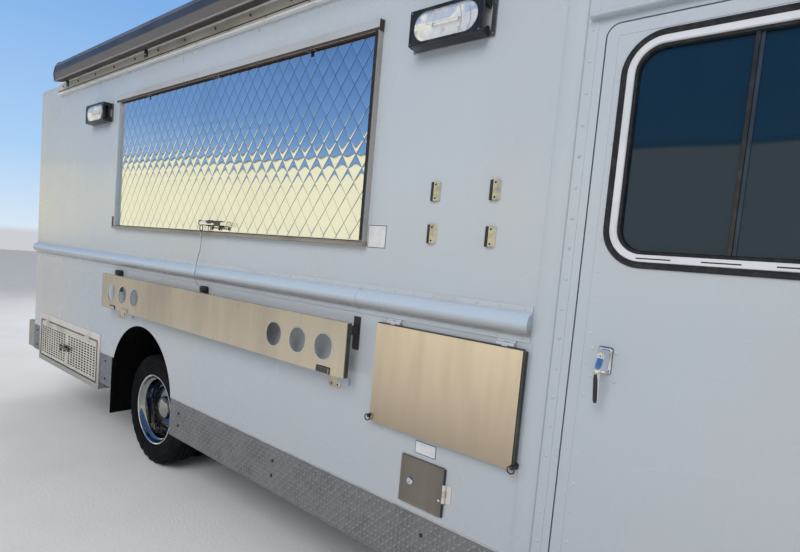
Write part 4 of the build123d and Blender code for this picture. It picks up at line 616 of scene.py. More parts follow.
def hatch_latch():
    """Cast latch near the hatch's lower edge: its bar, lumps, hooks and the ring below."""
    bm = bmesh.new()
    z = LATCH_Z
    block(bm, right_wall, (-668, -470), (z - 12, z + 6), (HATCH_OUT, 10), 0, 3)
    for x, v in ((-650, z), (-490, z - 4)):
        turned(bm, right_wall, x, v, [(15, 9), (11, 18), (9, 30), (1, 31)])
    tube(bm, [right_wall(-700, z + 10.5, 34), right_wall(-600, z + 9.5, 36), right_wall(-500, z + 5.5, 36),
        right_wall(-418, z + 1.5, 34)], 9.2)
    for x0, x1, low, high in ((-712, -690, -12, 21), (-620, -560, -6, 21), (-545, -462, -12, 19)):
        block(bm, right_wall, (x0, x1), (z + low, z + high), (22, 44.5), 0, 6)
    # A pale block on the left lump: a painted highlight.
    block(bm, right_wall, (-688, -622), (z + 1, z + 18), (30, 45), 2, 5)
    for u, v, w, edge in (((-576, -560), (-34, -4), (26, 36), 3), ((-562, -462), (-26, -19), (28, 34), 2),
            ((-474, -462), (-30, -4), (28, 34), 2)):
        block(bm, right_wall, u, (z + v[0], z + v[1]), w, 0, edge)
    ring_pin(bm, right_wall, -688, z - 26, 34, 17, 2.8, 1)
    piece("hatch_latch", bm, "latch_bronze shadow_steel label_white", "chrome", "hatch")


hatch_latch()

# Body seams and rivets

PILLAR_X = 1536
RUB_TOP = 1521.5
RUB_LOW = 1413.5
WALL_RIVET_PITCH = 101.6


def body_trim():
    for name, at in WALLS.items():
        bm = bmesh.new()
        half = 39
        rail_steps = [(PILLAR_X - half, 0), (PILLAR_X - half + 3, 6), (PILLAR_X - half + 12, 10.5),
            (PILLAR_X, 12), (PILLAR_X + half - 12, 10.5), (PILLAR_X + half - 3, 6), (PILLAR_X + half, 0)]
        skin(bm, [[at(u, v, w) for u, w in rail_steps] for v in (372, 2900)])
        block(bm, at, (PILLAR_X + half, 1610.5), (372, 2900), (-0.4, 1.6), 0, 0.8)
        piece(f"pillar_{name}", bm, "white_paint", "white_paint")
        bm = bmesh.new()
        domes(bm, at, [(1594, v) for v in spaced(2860, 420, WALL_RIVET_PITCH)], 6.2, 3.2, 1.4)
        flange_x = spaced(-3700, 1460, WALL_RIVET_PITCH)
        for v in (RUB_TOP, RUB_LOW):
            domes(bm, at, [(u, v) for u in flange_x], 4.5, 2.6, 3.8)
        eaves = spaced(-3700, 2600, 127)
        if name == "right":
            eaves = [u for u in eaves if not -3280 < u < 1580]
        domes(bm, at, [(u, 2880) for u in eaves], 4.5, 2.6)
        domes(bm, at, [(-3715, v) for v in spaced(760, 2800, 127)], 4.5, 2.6)
        piece(f"rivets_{name}", bm, "rivet_paint", "white_paint", angle=50)


body_trim()

# Cab doors: edge frame, window, handle

DOOR_X = (1642, 2468)
DOOR_Z = (480, 2455)
DOOR_R = 40
WINDOW_X = (1712, 2398)
WINDOW_Z = (1706, 2400)
WINDOW_R = 110


def door_window(name, at, body):
    opening = outline(*WINDOW_X, *WINDOW_Z, WINDOW_R, 10)
    bm = bmesh.new()
    for section in ([(-12, 0), (-12.5, 3), (-9, 7.5), (-2, 9.2), (4, 7.8), (7, 4), (7, -4)],
            [(30, -6), (30, -1), (33, 1.2), (39, 0), (42, -8), (42, -12)]):
        stacked(bm, at, opening, section, ring=True)
    piece(f"window_gasket_{name}", bm, "rubber", "lamp_plastic", body)
    bm = bmesh.new()
    stacked(bm, at, opening, [(6.5, -10), (6.5, 3.5), (9, 6.2), (27, 6.2), (30, 3.5), (30.5, -10)],
        ring=True)
    low = WINDOW_Z[0] + 18
    for u in (1860, 2040, 2220):
        block(bm, at, (u - 50, u + 50), (low - 2.4, low + 2.4), (4, 6.6), 1, 0.8)
    piece(f"window_frame_{name}", bm, "frame_white rubber", "white_paint", body)
    bm = bmesh.new()
    post = 2055
    block(bm, at, (post - 6, post + 6), (WINDOW_Z[0] + 30, WINDOW_Z[1] - 30), (-18, -4))
    block(bm, at, (post + 6, post + 17), (WINDOW_Z[0] + 30, WINDOW_Z[1] - 30), (-18, -10), 1)
    piece(f"window_post_{name}", bm, "gloss_black slider_metal", "lamp_plastic", body)


def door_trim(name, at, body):
    bm = bmesh.new()
    edge = 1.8
    outer = outline(DOOR_X[0] + edge, DOOR_X[1] - edge, DOOR_Z[0] + edge, DOOR_Z[1] - edge, DOOR_R, 4)
    inner = outline(DOOR_X[0] + 38, DOOR_X[1] - 38, DOOR_Z[0] + 45, DOOR_Z[1] - 38, 6, 4)
    holed(bm, at, outer, inner, (-2, 1.2), 0, 0.6)
    piece(f"door_band_{name}", bm, "white_paint", "white_paint", body)
    bm = bmesh.new()
    for u in (DOOR_X[0] + 55, DOOR_X[1] - 55):
        domes(bm, at, [(u, v) for v in spaced(DOOR_Z[0] + 80, DOOR_Z[1] - 70, 100)], 6, 1.4)
    for v in (DOOR_Z[0] + 65, DOOR_Z[1] - 55):
        domes(bm, at, [(u, v) for u in spaced(DOOR_X[0] + 90, DOOR_X[1] - 90, 100)], 6, 1.4)
    piece(f"door_rivets_{name}", bm, "rivet_paint", "white_paint", body, angle=50)


HANDLE_X = 1753
HANDLE_Z = (1350, 1435)


def door_handle(name, at, body):
    """Chrome lever handle: flanged plate, raised hub with the lock, and the turned-down lever."""
    bm = bmesh.new()
    low, high = HANDLE_Z
    plate = outline(HANDLE_X - 22, HANDLE_X + 22, low, high, 6, 4)
    stacked(bm, at, plate, [(-1.4, 0), (-1.4, 2), (1, 2.4)], 1)
    stacked(bm, at, plate, [(0, 2), (0, 4.5), (2.2, 6.2), (4, 6.2)])
    body_outline = outline(HANDLE_X - 18.5, HANDLE_X + 17, low + 10, high - 6, 8, 4)
    stacked(bm, at, body_outline, [(0, 5), (1, 20), (4, 34), (8, 40), (12, 41)])
    hub_z = high - 26
    turned(bm, at, HANDLE_X, hub_z, [(14.5, 36), (14.5, 46), (13, 48.5), (10.5, 48.5), (10, 46), (8.5, 46),
        (8, 48.5), (5, 49), (0.1, 49)], 28)
    spine = ((hub_z - 6, 42, 12.5, 9), (hub_z - 28, 53, 13, 9), (hub_z - 46, 60, 11, 8.5),
        (hub_z - 72, 59, 9.8, 7.5), (hub_z - 115, 50, 9.5, 7), (hub_z - 145, 44, 9, 6.5),
        (hub_z - 153, 42, 6, 4))
    loops = []
    for v, w, wide, deep in spine:
        loops.append([at(HANDLE_X + wide * cos(t), v, w + deep * sin(t)) for t in circle(16)])
    skin(bm, loops)
    grip = ((hub_z - 55, 60, 7), (hub_z - 72, 59.5, 8.4), (hub_z - 115, 50.5, 8.2), (hub_z - 142, 45, 7.6),
        (hub_z - 149, 43.6, 5))
    skin(bm, [[at(HANDLE_X - 0.8 + wide * cos(t), v, w + 1.5 + 7.3 * max(0, sin(t))) for t in circle(16)]
        for v, w, wide in grip], 1)
    block(bm, at, (HANDLE_X - 1.2, HANDLE_X + 1.2), (hub_z - 4, hub_z + 4), (48.5, 49.4), 1, 0.3)
    piece(f"door_handle_{name}", bm, "chrome gloss_black", "chrome", body)
    bm = bmesh.new()
    domes(bm, at, [(1709, 1424), (1784, 1422), (1712, 1335), (1788, 1332)], 8, 2.6, steps=16)
    domes(bm, at, [(1776, 1301)], 2.8, 1.2)
    piece(f"handle_buttons_{name}", bm, "rivet_paint", "white_paint", body, angle=50)


for side_name, side_place in WALLS.items():
    door_window(side_name, side_place, f"door_{side_name}")
    door_trim(side_name, side_place, f"door_{side_name}")
    door_handle(side_name, side_place, f"door_{side_name}")

# Drip rails, filler neck and the hat-section clips

FILLER = (1080, 748)
CLIPS = ((1021, 1938), (1292, 1941), (1020, 1769), (1291, 1769))


def small_fittings():
    bm = bmesh.new()
    for at in WALLS.values():
        rounded_rail = [(2480.5 + 8.5 * (1 + cos(t)), 11.5 + 15.5 * sin(t))
            for t in [pi * k / 8 for k in range(9)]]
        rail(bm, at, [(2480.5, 0)] + rounded_rail[::-1] + [(2497.5, 0)], 1588, 2508)
    turned(bm, right_wall, *FILLER, [(30, -36), (30, -12), (26, -10), (26, -30)], 28, 1, ring=True)
    turned(bm, right_wall, *FILLER, [(26, -34), (26, -16), (20, -12.5), (1, -12.5)], 28, 2)
    for u, v in CLIPS:
        hat = [(-20, 0), (-20, 1.8), (-7.5, 11.8), (7.5, 11.8), (20, 1.8), (20, 0)]
        loops = [[right_wall(u + du, v + dv, w) for du, w in hat] for dv in (-37, 37)]
        skin(bm, loops, 3)
        block(bm, right_wall, (u - 22.5, u - 10), (v - 37.5, v + 37.5), (0, 10.5), 2, 1)
        for dv in (-27, 27):
            turned(bm, right_wall, u + 2, v + dv, [(4.2, 11.2), (4.2, 12.4), (3, 12.6), (1, 12.2)], 12, 2)
    piece("small_fittings", bm, "white_paint bright_steel gloss_black clip_steel", "white_paint",
        replaced="fittings")


small_fittings()

# Scene lamps

LAMPS = ((1032, 2572), (-2302, 2577))


def scene_lamp(index, cu, cv):
    at = right_wall
    bm = bmesh.new()
    holed(bm, at, outline(cu - 192.5, cu + 192.5, cv - 69.5, cv + 69.5, 4, 4),
        outline(cu - 150, cu + 172, cv - 50, cv + 50, 12, 4), (0, 6), 1, 1.5)
    block(bm, at, (cu - 152, cu + 174), (cv - 52, cv + 52), (0.3, 1.5), 2, 0.5)
    for v in (cv - 55, cv + 55):
        domes(bm, at, [(cu + 180, v), (cu - 184, v)], 5.5, 3, 6, 1)
    rim = outline(cu - 170, cu + 170, cv - 69.5, cv + 69.5, 6, 8)
    oval = outline(cu - 150, cu + 150, cv - 56, cv + 56, 55.5, 8)
    holed(bm, at, rim, oval, (52, 68), 0, 1.6)
    stacked(bm, at, oval, [(-4, 60), (-4, 56), (4, 48), (20, 38), (45, 30)], 3, ends=False)
    for v0, v1 in ((cv - 69.5, cv - 62.5), (cv + 62.5, cv + 69.5)):
        block(bm, at, (cu - 168, cu + 168), (v0, v1), (6, 56))
    block(bm, at, (cu - 170, cu - 163), (cv - 69.5, cv + 69.5), (6, 56))
    for v, tip in ((cv - 62.5, 30), (cv + 62.5, -30)):
        wedge = [(6, v), (52, v), (52, v + tip * 0.25), (20, v + tip), (6, v + tip)]
        skin(bm, [[at(u, y, w) for w, y in wedge] for u in (cu + 160, cu + 168)])
    domes(bm, at, [(cu + du, cv + dv) for du in (-160, 160) for dv in (-60, 60)], 4.2, 2, 68, 1)
    piece(f"scene_lamp_{index}", bm, "gloss_black lamp_plate white_paint label_white", "lamp_plastic",
        replaced="scene_lamps")
    bm = bmesh.new()
    stacked(bm, at, oval, [(0.8, 62), (3, 50)], ends=False)
    loops = []
    half_tall = 53
    for j in range(15):
        dv = half_tall * sin((j / 14 - 0.5) * pi)
        reach = 94.5 + (half_tall ** 2 - dv * dv) ** 0.5
        lean = 4 * (1 + dv / half_tall) ** 1.5
        loop = []
        for i in range(33):
            du = reach * (2 * i / 32 - 1)
            facet = 1.1 * abs(sin(i * pi / 4))
            edge = max(0, abs(du) - 80) * 0.22
            loop.append(at(cu + du, cv + dv, 44 + edge + facet + lean))
        loops.append(loop)
    skin(bm, loops, ends=False, around=False)
    piece(f"lamp_reflector_{index}", bm, "reflector", "chrome")
    bm = bmesh.new()
    tube(bm, [at(cu - 55, cv, 56), at(cu + 55, cv, 56)], 4.5, steps=12)
    for u in (cu - 66, cu + 56):
        block(bm, at, (u, u + 10), (cv - 8, cv + 8), (46, 60), 1, 2)
    for u in (cu + 60, cu + 100):
        tube(bm, [at(u, cv + 50, 56), at(u + 12, cv + 18, 60), at(u + 14, cv - 18, 60), at(u, cv - 50, 56)],
            1.1, 2, 6)
    piece(f"lamp_bulb_{index}", bm, "bulb_glass bright_steel gloss_black", "aluminium")
    bm = bmesh.new()
    stacked(bm, at, oval, [(1.2, 61), (1.2, 66), (8, 68.5), (30, 69.8)])
    piece(f"lamp_lens_{index}", bm, "clear_lens", "tinted_glass")


for lamp_index, lamp_place in enumerate(LAMPS):
    scene_lamp(lamp_index, *lamp_place)

# Serving shelf, side shelf, fuel door and labels

CUPS_X = (-1790, -1605, -1420, 150, 335, 520)
CUPS_Z = 1230


def shelf_details():
    at = right_wall
    bm = bmesh.new()
    # Dark outlines, an L along the left catch's top and right edges, and a dark fill on the right catch:
    # painted shadow at the catches' edges.
    holed(bm, at, outline(485, 577, 1108.5, 1141, 3, 3), outline(490, 572, 1110.5, 1136, 2, 3),
        (87, 88.5), edge=0.5)
    block(bm, at, (491, 571), (1111.5, 1135), (94.5, 96), 1, 0.5)
    block(bm, at, (-1806, -1716), (1131, 1139), (86.5, 90))
    block(bm, at, (-1728, -1716), (1110.5, 1139), (86.5, 90))
    piece("shelf_catch_shade", bm, "gloss_black shadow_steel", "lamp_plastic", "serving_shelf")
    bm = bmesh.new()
    for u0, u1 in ((489, 568), (-1838, -1759)):
        block(bm, at, (u0, u1), (1032, 1100), (0.4, 4), 0, 0.8, 6, 4)
        domes(bm, at, [(u0 + 18, 1046), (u1 - 18, 1046)], 5.6, 1.6, 3.8, 1)
    piece("catch_plates", bm, "plate_steel gloss_black", "stainless", angle=50)
    bm = bmesh.new()
    for u0, u1 in ((-1888, -1812), (-680, -624)):
        block(bm, at, (u0, u1), (1352, 1391), (0.5, 26), 0, 3)
        block(bm, at, (u0 + 6, u1 - 6), (1358, 1386), (24, 32), 0, 3)
        domes(bm, at, [(u0 + 16, 1372), (u1 - 16, 1372)], 5, 3, 32, 1)
    piece("shelf_hinge_covers", bm, "bracket_steel shadow_steel", "black_steel", angle=50)
    bm = bmesh.new()
    for u in (-1952, 667):
        block(bm, at, (u - 2.2, u + 2.2), (1110.5, 1357.5), (61.5, 87.2))
    piece("shelf_end_returns", bm, "shadow_steel", "stainless", "serving_shelf")
    bm = bmesh.new()
    for u in CUPS_X:
        turned(bm, at, u, CUPS_Z, [(58.8, 84.5), (58.8, 87.2), (60.2, 88.2), (62.2, 88), (62.8, 87.1),
            (61.2, 86.8), (61.2, 84.5)], 48, ring=True)
    piece("cup_rims", bm, "bright_steel", "stainless", "serving_shelf")


shelf_details()


def side_shelf_details():
    at = right_wall
    bm = bmesh.new()
    # Dark strips on the side shelf's end and along its top: painted shade on its returns.
    block(bm, at, (1482.2, 1490.5), (957, 1374), (6, 26.5), 0, 1.5)
    block(bm, at, (790.5, 1481.5), (1376.2, 1379.5), (6, 27))
    piece("side_shelf_return_shade", bm, "shadow_steel", "stainless", "side_shelf")
    bm = bmesh.new()
    for u, v in ((786, 966), (1487, 957)):
        turned(bm, at, u, v, [(12.5, 0), (12.5, 12), (9, 16), (9, 34), (6.5, 38), (1, 38)], 20)
        ring_pin(bm, at, u, v - 6, 41, 13.5, 2.6)
    piece("side_shelf_pins", bm, "gloss_black", "black_steel", "side_shelf")


side_shelf_details()


def fuel_door_details():
    at = right_wall
    bm = bmesh.new()
    loops = []
    for inward, out, radius in ((-0.6, 0.5, 6.6), (-0.6, 7.2, 6.6), (0.6, 8.8, 5.4), (6, 8.8, 4),
            (7.2, 8, 3.6), (10, 7.8, 3)):
        shape = outline(971 + inward, 1189 - inward, 648 + inward, 848 - inward, radius, 4)
        loops.append([at(u, v, out) for u, v in shape])
    skin(bm, loops)
    piece("fuel_door_face", bm, "fuel_steel", "stainless", "fuel_door")
    bm = bmesh.new()
    turned(bm, at, 1025, 746,
        [(15, 7.4), (15, 11.2), (12.5, 13.6), (8.5, 13.6), (8, 11.5), (0.1, 11.5)], 28)
    block(bm, at, (1023.8, 1026.2), (739.5, 752.5), (11.2, 11.9), 1, 0.3)
    block(bm, at, (1190.5, 1196.5), (650, 846), (0.5, 8.5), 1)
    turned(bm, at, 1176, 715, [(6, 7.2), (6, 10), (4, 11.2), (1, 11.2)], 16)
    piece("fuel_door_lock", bm, "chrome gloss_black", "chrome", "fuel_door")


fuel_door_details()


def labels():
    """Blank plates over the fuel door and beside the hatch."""
    bm = bmesh.new()
    for u0, u1, v0, v1 in ((1031, 1137, 868, 921), (665, 771, 1697, 1796)):
        block(bm, right_wall, (u0, u1), (v0, v1), (0, 1.1), 1, 0.3)
        block(bm, right_wall, (u0 + 3, u1 - 3), (v0 + 3, v1 - 3), (0.9, 1.5), 0, 0.2)
    piece("blank_labels", bm, "label_white label_edge", "white_paint")


labels()

# Compartment door: perforated sheet in a plain border

COMP_DOOR_X = (-3536, -2208)
COMP_DOOR_Z = (451, 792)
COMP_FACE = 6


def compartment_door():
    at = right_wall
    bm = bmesh.new()
    x0, x1 = COMP_DOOR_X
    z0, z1 = COMP_DOOR_Z
    columns, rows = 10, 12
    mid = (x0 + x1) / 2
    border = 32
    top_band = 52
    stile = 26
    zones = ((x0 + border, mid - stile), (mid + stile, x1 - border))
    v_lines = [z0 + border + (z1 - top_band - z0 - border) * k / rows for k in range(rows + 1)]
    cells = []
    for u0, u1 in zones:
        wide = (u1 - u0) / columns
        cells += [(u0 + k * wide, u0 + k * wide + wide) for k in range(columns)]
    for left, right in cells:
        for low, high in zip(v_lines, v_lines[1:]):
            frame_line = outline(left, right, low, high, 0, 2)
            slot_line = outline(left + 10, right - 10, low + 4.5, high - 4.5, 6, 2)
            loops = [(frame_line, COMP_FACE), (slot_line, COMP_FACE), (slot_line, COMP_FACE - 2.2)]
            skin(bm, [[at(*p, w) for p in points] for points, w in loops], ends=False)
    bands = list(zip([z0] + v_lines, v_lines + [z1]))
    plain = ((x0, x0 + border), (x1 - border, x1), (mid - stile, mid + stile))
    sheets = [(side, band) for side in plain for band in bands]
    sheets += [(cell, band) for cell in cells for band in (bands[0], bands[-1])]
    for (u0, u1), (v0, v1) in sheets:
        corners = ((u0, v0), (u1, v0), (u1, v1), (u0, v1))
        bm.faces.new([bm.verts.new(at(u, v, COMP_FACE)) for u, v in corners])
    door = outline(x0, x1, z0, z1, 4, 3)
    stacked(bm, at, door, [(0, COMP_FACE - 0.3), (1.2, COMP_FACE + 0.3), (6, COMP_FACE + 0.3),
        (6, COMP_FACE - 1), (3, -19), (0, -19)], ring=True)
    block(bm, at, (x0 + 4, x1 - 4), (z0 + 4, z1 - 4), (-19, -17), 1, 0.8)
    holed(bm, at, outline(x0 + 1.5, x1 - 1.5, z0 + 1.5, z1 - 1.5, 3, 3),
        outline(x0 + 20, x1 - 16, z0 + 10, z1 - 8, 2, 3), (COMP_FACE - 1, COMP_FACE + 1.2), 2, 0.4)
    piece("compartment_grille", bm, "grille_metal shadow_steel rubber", "stainless", "compartment_door",
        replaced="compartment_door")
    bm = bmesh.new()
    turned(bm, at, mid, 619, [(24, COMP_FACE), (24, 10.5), (13, 14), (13, 26), (1, 27)], 20)
    skin(bm, [[at(mid + du, 619 + dv, w) for w, dv in ((20, -9), (30, -11), (34, 0), (30, 11), (20, 9))]
        for du in (-98, -30, 30, 105)])
    for left, right, v, low, edge in ((-100, -78, (582, 642), 18, 3), (-22, 30, (596, 644), 12, 6),
            (80, 98, (602, 640), 18, 3)):
        block(bm, at, (mid + left, mid + right), v, (low, 30), 0, edge)
    piece("compartment_latch", bm, "gloss_black", "black_steel", "compartment_door")
    bm = bmesh.new()
    for u in (-3341, -2403):
        block(bm, at, (u - 36, u + 36), (z1 - 40, z1 - 4), (COMP_FACE, COMP_FACE + 3), 0, 0.8)
        tube(bm, [at(u - 12, 794.5, 14), at(u + 12, 794.5, 14)], 7.9, steps=12)
    piece("compartment_hinge_leaves", bm, "grille_metal", "black_steel", "compartment_door")


compartment_door()

# Wheels and tyres

AXLE_Z = 402
TYRE_PROFILE = (  # radius, out from the middle, depth of the shoulder notch
    (246.5, 93.5, 0), (255, 100, 0), (266, 105, 0), (268, 106.8, 0),
    (272, 107, 0), (274, 106, 0), (295, 110.8, 0), (315, 112.4, 0),
    (335, 111.2, 0), (337, 112.2, 0), (341, 111.8, 0), (343, 109.8, 0),
    (362, 105.5, 3), (380, 100, 6), (393, 94, 9), (398.5, 85, 9),
    (400.5, 69, 0), (400.8, 66, 0), (392, 64.5, 0), (392, 57.5, 0),
    (401.2, 56, 0), (401.8, 27, 0), (392.5, 25.5, 0), (392.5, 18.5, 0),
    (401.9, 17, 0), (402, 0, 0))
TYRE_STEPS = 96


def tyre(bm, centre_x, centre_y, side):
    rows = list(TYRE_PROFILE) + [(r, -w, cut) for r, w, cut in TYRE_PROFILE[-2::-1]]
    loops = []
    for r, w, cut in rows:
        loop = []
        for k, turn in enumerate(circle(TYRE_STEPS)):
            reach = r - (cut if k % 3 == 0 else 0)
            loop.append(mm(centre_x + reach * cos(turn), centre_y + side * w, AXLE_Z + reach * sin(turn)))
        loops.append(loop)
    skin(bm, loops, ring=True)


def rim_part(bm, at, x):
    """The rim's ring, with lips at both sides and the drop well between."""
    turned(bm, at, x, AXLE_Z, [(246.2, 93), (252, 95), (253.8, 97.5), (253, 100.5), (249, 101.5), (244, 99),
        (240, 93), (238.5, 80), (230, 68), (218, 62), (215, 50), (215, -40), (220, -62), (238.5, -80),
        (240, -93), (244, -99), (250, -101.5), (253.8, -97.5), (246.2, -93), (246.2, 0)], 72, ring=True)
    turned(bm, at, x, AXLE_Z, [(254, 98.5), (254.5, 101), (253, 103), (250, 103.4), (245.5, 101),
        (245, 99)], 72, 2, ring=True)


def wheel_at(y, side):
    """Maps (forward, up, out) from a wheel's middle plane."""
    return lambda u, v, w=0: mm(u, side * (y + w), v)


def nuts_and_holes(bm, at, x, disc, ring, hand):
    """Eight nuts on a ring, and eight hand holes given by their (radius, out)."""
    for turn in circle(8, 0.5):
        u, v = x + ring * cos(turn), AXLE_Z + ring * sin(turn)
        turned(bm, at, u, v, [(21, disc), (21, disc + 4), (15.5, disc + 5), (15.5, disc + 28),
            (11, disc + 33), (0.1, disc + 34)], 6)
    for turn in circle(8):
        outward = Vector((cos(turn), sin(turn)))
        across = Vector((-sin(turn), cos(turn)))
        middle = Vector((x, AXLE_Z)) + outward * hand[0]
        shape = [middle + outward * (16 * cos(t)) + across * (26 * sin(t)) for t in circle(16)]
        # Each hand hole is a black plug of painted shade.
        skin(bm, [[at(p.x, p.y, hand[1] + out) for p in shape] for out in (-4, 2.2)], 1)


REAR_X = -1460  # the axles' places
FRONT_X = 3060
REAR_TYRES_Y = (987, 722)
FRONT_TYRE_Y = 940
REAR_DISC = -105  # how far the wheel's disc stands out from the tyre's middle
FRONT_DISC = 42
NUT_RING = 122


def rear_wheels(name, side):
    body = f"wheels_rear_{name}"
    at = wheel_at(REAR_TYRES_Y[0], side)
    bm = bmesh.new()
    for y in REAR_TYRES_Y:
        rim_part(bm, wheel_at(y, side), REAR_X)
    turned(bm, at, REAR_X, AXLE_Z, [(216.5, -20), (210, -45), (195, -75), (178, -92), (160, -101),
        (148, REAR_DISC), (95, REAR_DISC), (95, -118), (150, -118), (165, -114), (185, -103), (204, -83),
        (216.5, -55)], 72, ring=True)
    turned(bm, wheel_at(REAR_TYRES_Y[1], side), REAR_X, AXLE_Z,
        [(216.5, 30), (204, 70), (178, 98), (148, 118), (95, 130), (95, 143), (150, 131), (185, 111),
        (216.5, 60)], 48, ring=True)
    nuts_and_holes(bm, at, REAR_X, REAR_DISC, NUT_RING, (180, -89.5))
    piece(f"wheels_rear_{name}_chrome", bm, "wheel_chrome hole_black chrome", "chrome", body, replaced=body)
    bm = bmesh.new()
    turned(bm, at, REAR_X, AXLE_Z, [(94, REAR_DISC - 2), (94, -80), (89, -50), (87, 0), (85, 18), (81, 28),
        (79.5, 25.5), (76, 34), (60, 44), (34, 50), (1, 52)], 48)
    piece(f"hub_cap_rear_{name}", bm, "wheel_chrome", "chrome", body)
    bm = bmesh.new()
    for y in REAR_TYRES_Y:
        tyre(bm, REAR_X, side * y, side)
    piece(f"tyres_rear_{name}_tread", bm, "tyre_rubber", "tyre", body, replaced=f"tyres_rear_{name}")


def front_wheel(name, side):
    body = f"wheel_front_{name}"
    at = wheel_at(FRONT_TYRE_Y, side)
    bm = bmesh.new()
    rim_part(bm, at, FRONT_X)
    turned(bm, at, FRONT_X, AXLE_Z, [(216.5, 10), (204, 30), (185, 42), (165, 45), (148, FRONT_DISC),
        (90, FRONT_DISC), (90, 30), (148, 30), (165, 33), (190, 28), (216.5, -6)], 72, ring=True)
    nuts_and_holes(bm, at, FRONT_X, FRONT_DISC, NUT_RING, (184, 42))
    turned(bm, at, FRONT_X, AXLE_Z, [(89.5, 30), (89.5, 55), (84, 68), (66, 80), (36, 87), (1, 89)], 48)
    piece(f"wheel_front_{name}_chrome", bm, "wheel_chrome hole_black chrome", "chrome", body, replaced=body)
    bm = bmesh.new()
    tyre(bm, FRONT_X, side * FRONT_TYRE_Y, side)
    piece(f"tyre_front_{name}_tread", bm, "tyre_rubber", "tyre", body, replaced=f"tyre_front_{name}")


for side_name, side_sign in (("right", RIGHT), ("left", LEFT)):
    rear_wheels(side_name, side_sign)
    front_wheel(side_name, side_sign)

# Skirts: tread plate lozenges, edges and bolts, and the wheel arches' liners

LOZENGE_PITCH = 22.5
LOZENGE_REACH = 10.148  # half a bar's length, each way
LOZENGE_HALF = 2.7  # half its width, each way
LOZENGE_RIDGE = 0.55  # the ridge's share of its length
LOZENGE_RISE = 1.3
ARCH_X = -1475
ARCH_Z = 550
ARCH_R = 468


def lozenges(bm, at, u0, u1, v0, v1):
    """Short raised bars in alternating directions."""
    columns = int((u1 - u0) / LOZENGE_PITCH)
    rows = int((v1 - v0) / LOZENGE_PITCH)
    start_u = (u0 + u1 - (columns - 1) * LOZENGE_PITCH) / 2
    start_v = (v0 + v1 - (rows - 1) * LOZENGE_PITCH) / 2
    for i in range(columns):
        for j in range(rows):
            here = Vector((start_u + i * LOZENGE_PITCH, start_v + j * LOZENGE_PITCH))
            lean = 1 if (i + j) % 2 else -1
            long = Vector((LOZENGE_REACH, LOZENGE_REACH * lean))
            wide = Vector((-LOZENGE_HALF * lean, LOZENGE_HALF))
            foot = [here + long, here + wide, here - long, here - wide]
            ridge = [here + long * LOZENGE_RIDGE, here - long * LOZENGE_RIDGE]
            low = [bm.verts.new(at(p.x, p.y, 0)) for p in foot]
            high = [bm.verts.new(at(p.x, p.y, LOZENGE_RISE)) for p in ridge]
            bm.faces.new((low[0], low[1], high[1], high[0]))
            bm.faces.new((low[1], low[2], high[1]))
            bm.faces.new((low[2], low[3], high[0], high[1]))
            bm.faces.new((low[3], low[0], high[0]))


def skirt_details():
    for name, at in WALLS.items():
        bm = bmesh.new()
        lozenges(bm, at, -1003, 1633, 374, 612)
        lozenges(bm, at, -2162, -1947, 474, 708)
        rear_end = COMP_DOOR_X[0] - 46 if name == "right" else -2170
        lozenges(bm, at, -3746, rear_end, 474, 708)
        piece(f"skirt_tread_{name}", bm, "tread_bar", "tread_plate", angle=20)
        bm = bmesh.new()
        for u0, u1, v in ((-1007, 1637, 616.5), (-2166, -1943, 712.5), (-REAR, rear_end + 4, 712.5)):
            rail(bm, at, [(v - 1.6, 0), (v - 1.6, 1.6), (v, 2.4), (v + 2.2, 1.8), (v + 3, 0)], u0, u1)
        piece(f"skirt_edge_{name}", bm, "bright_steel", "aluminium")
        bm = bmesh.new()
        pairs = [(u, v) for u in (-895, 100, 1100) for v in (455, 535)]
        pairs += [(u, v) for u in (-2055, -3660) for v in (520, 660)]
        hexes(bm, at, pairs, 15, 6)
        piece(f"skirt_bolts_{name}", bm, "shadow_steel", "black_steel")


skirt_details()


def arch_liners():
    """Black edge strips of painted shade that line the wheel arches through the wall, and the flap's outer
    end.
    """
    bm = bmesh.new()
    for at in WALLS.values():
        for centre, flap in ((ARCH_X, 270), (FRONT_X, ARCH_Z)):
            turns = [pi * k / 48 for k in range(49)]
            loops = []
            for r, w in ((ARCH_R - 0.4, -0.8), (ARCH_R - 2.4, -0.8), (ARCH_R - 2.4, -40),
                    (ARCH_R - 0.4, -40)):
                line = [at(centre + r * cos(t), ARCH_Z + r * sin(t), w) for t in turns]
                loops.append([at(centre + r, ARCH_Z - 0.5, w)] + line + [at(centre - r, flap, w)])
            skin(bm, loops, ring=True, around=False)
    piece("arch_liners", bm, "hole_black", "black_steel")


arch_liners()

# Awning and its rail

AWNING_X = (-3060, 1512)
AWNING_RAIL_X = (-3250, 1552)
AWNING_PROFILE = [(2946, 4), (2924, 60), (2910, 118), (2972, 126), (3030, 116), (3060, 100), (3076, 84),
    (3082, 55), (3080, 30), (3060, 4)]


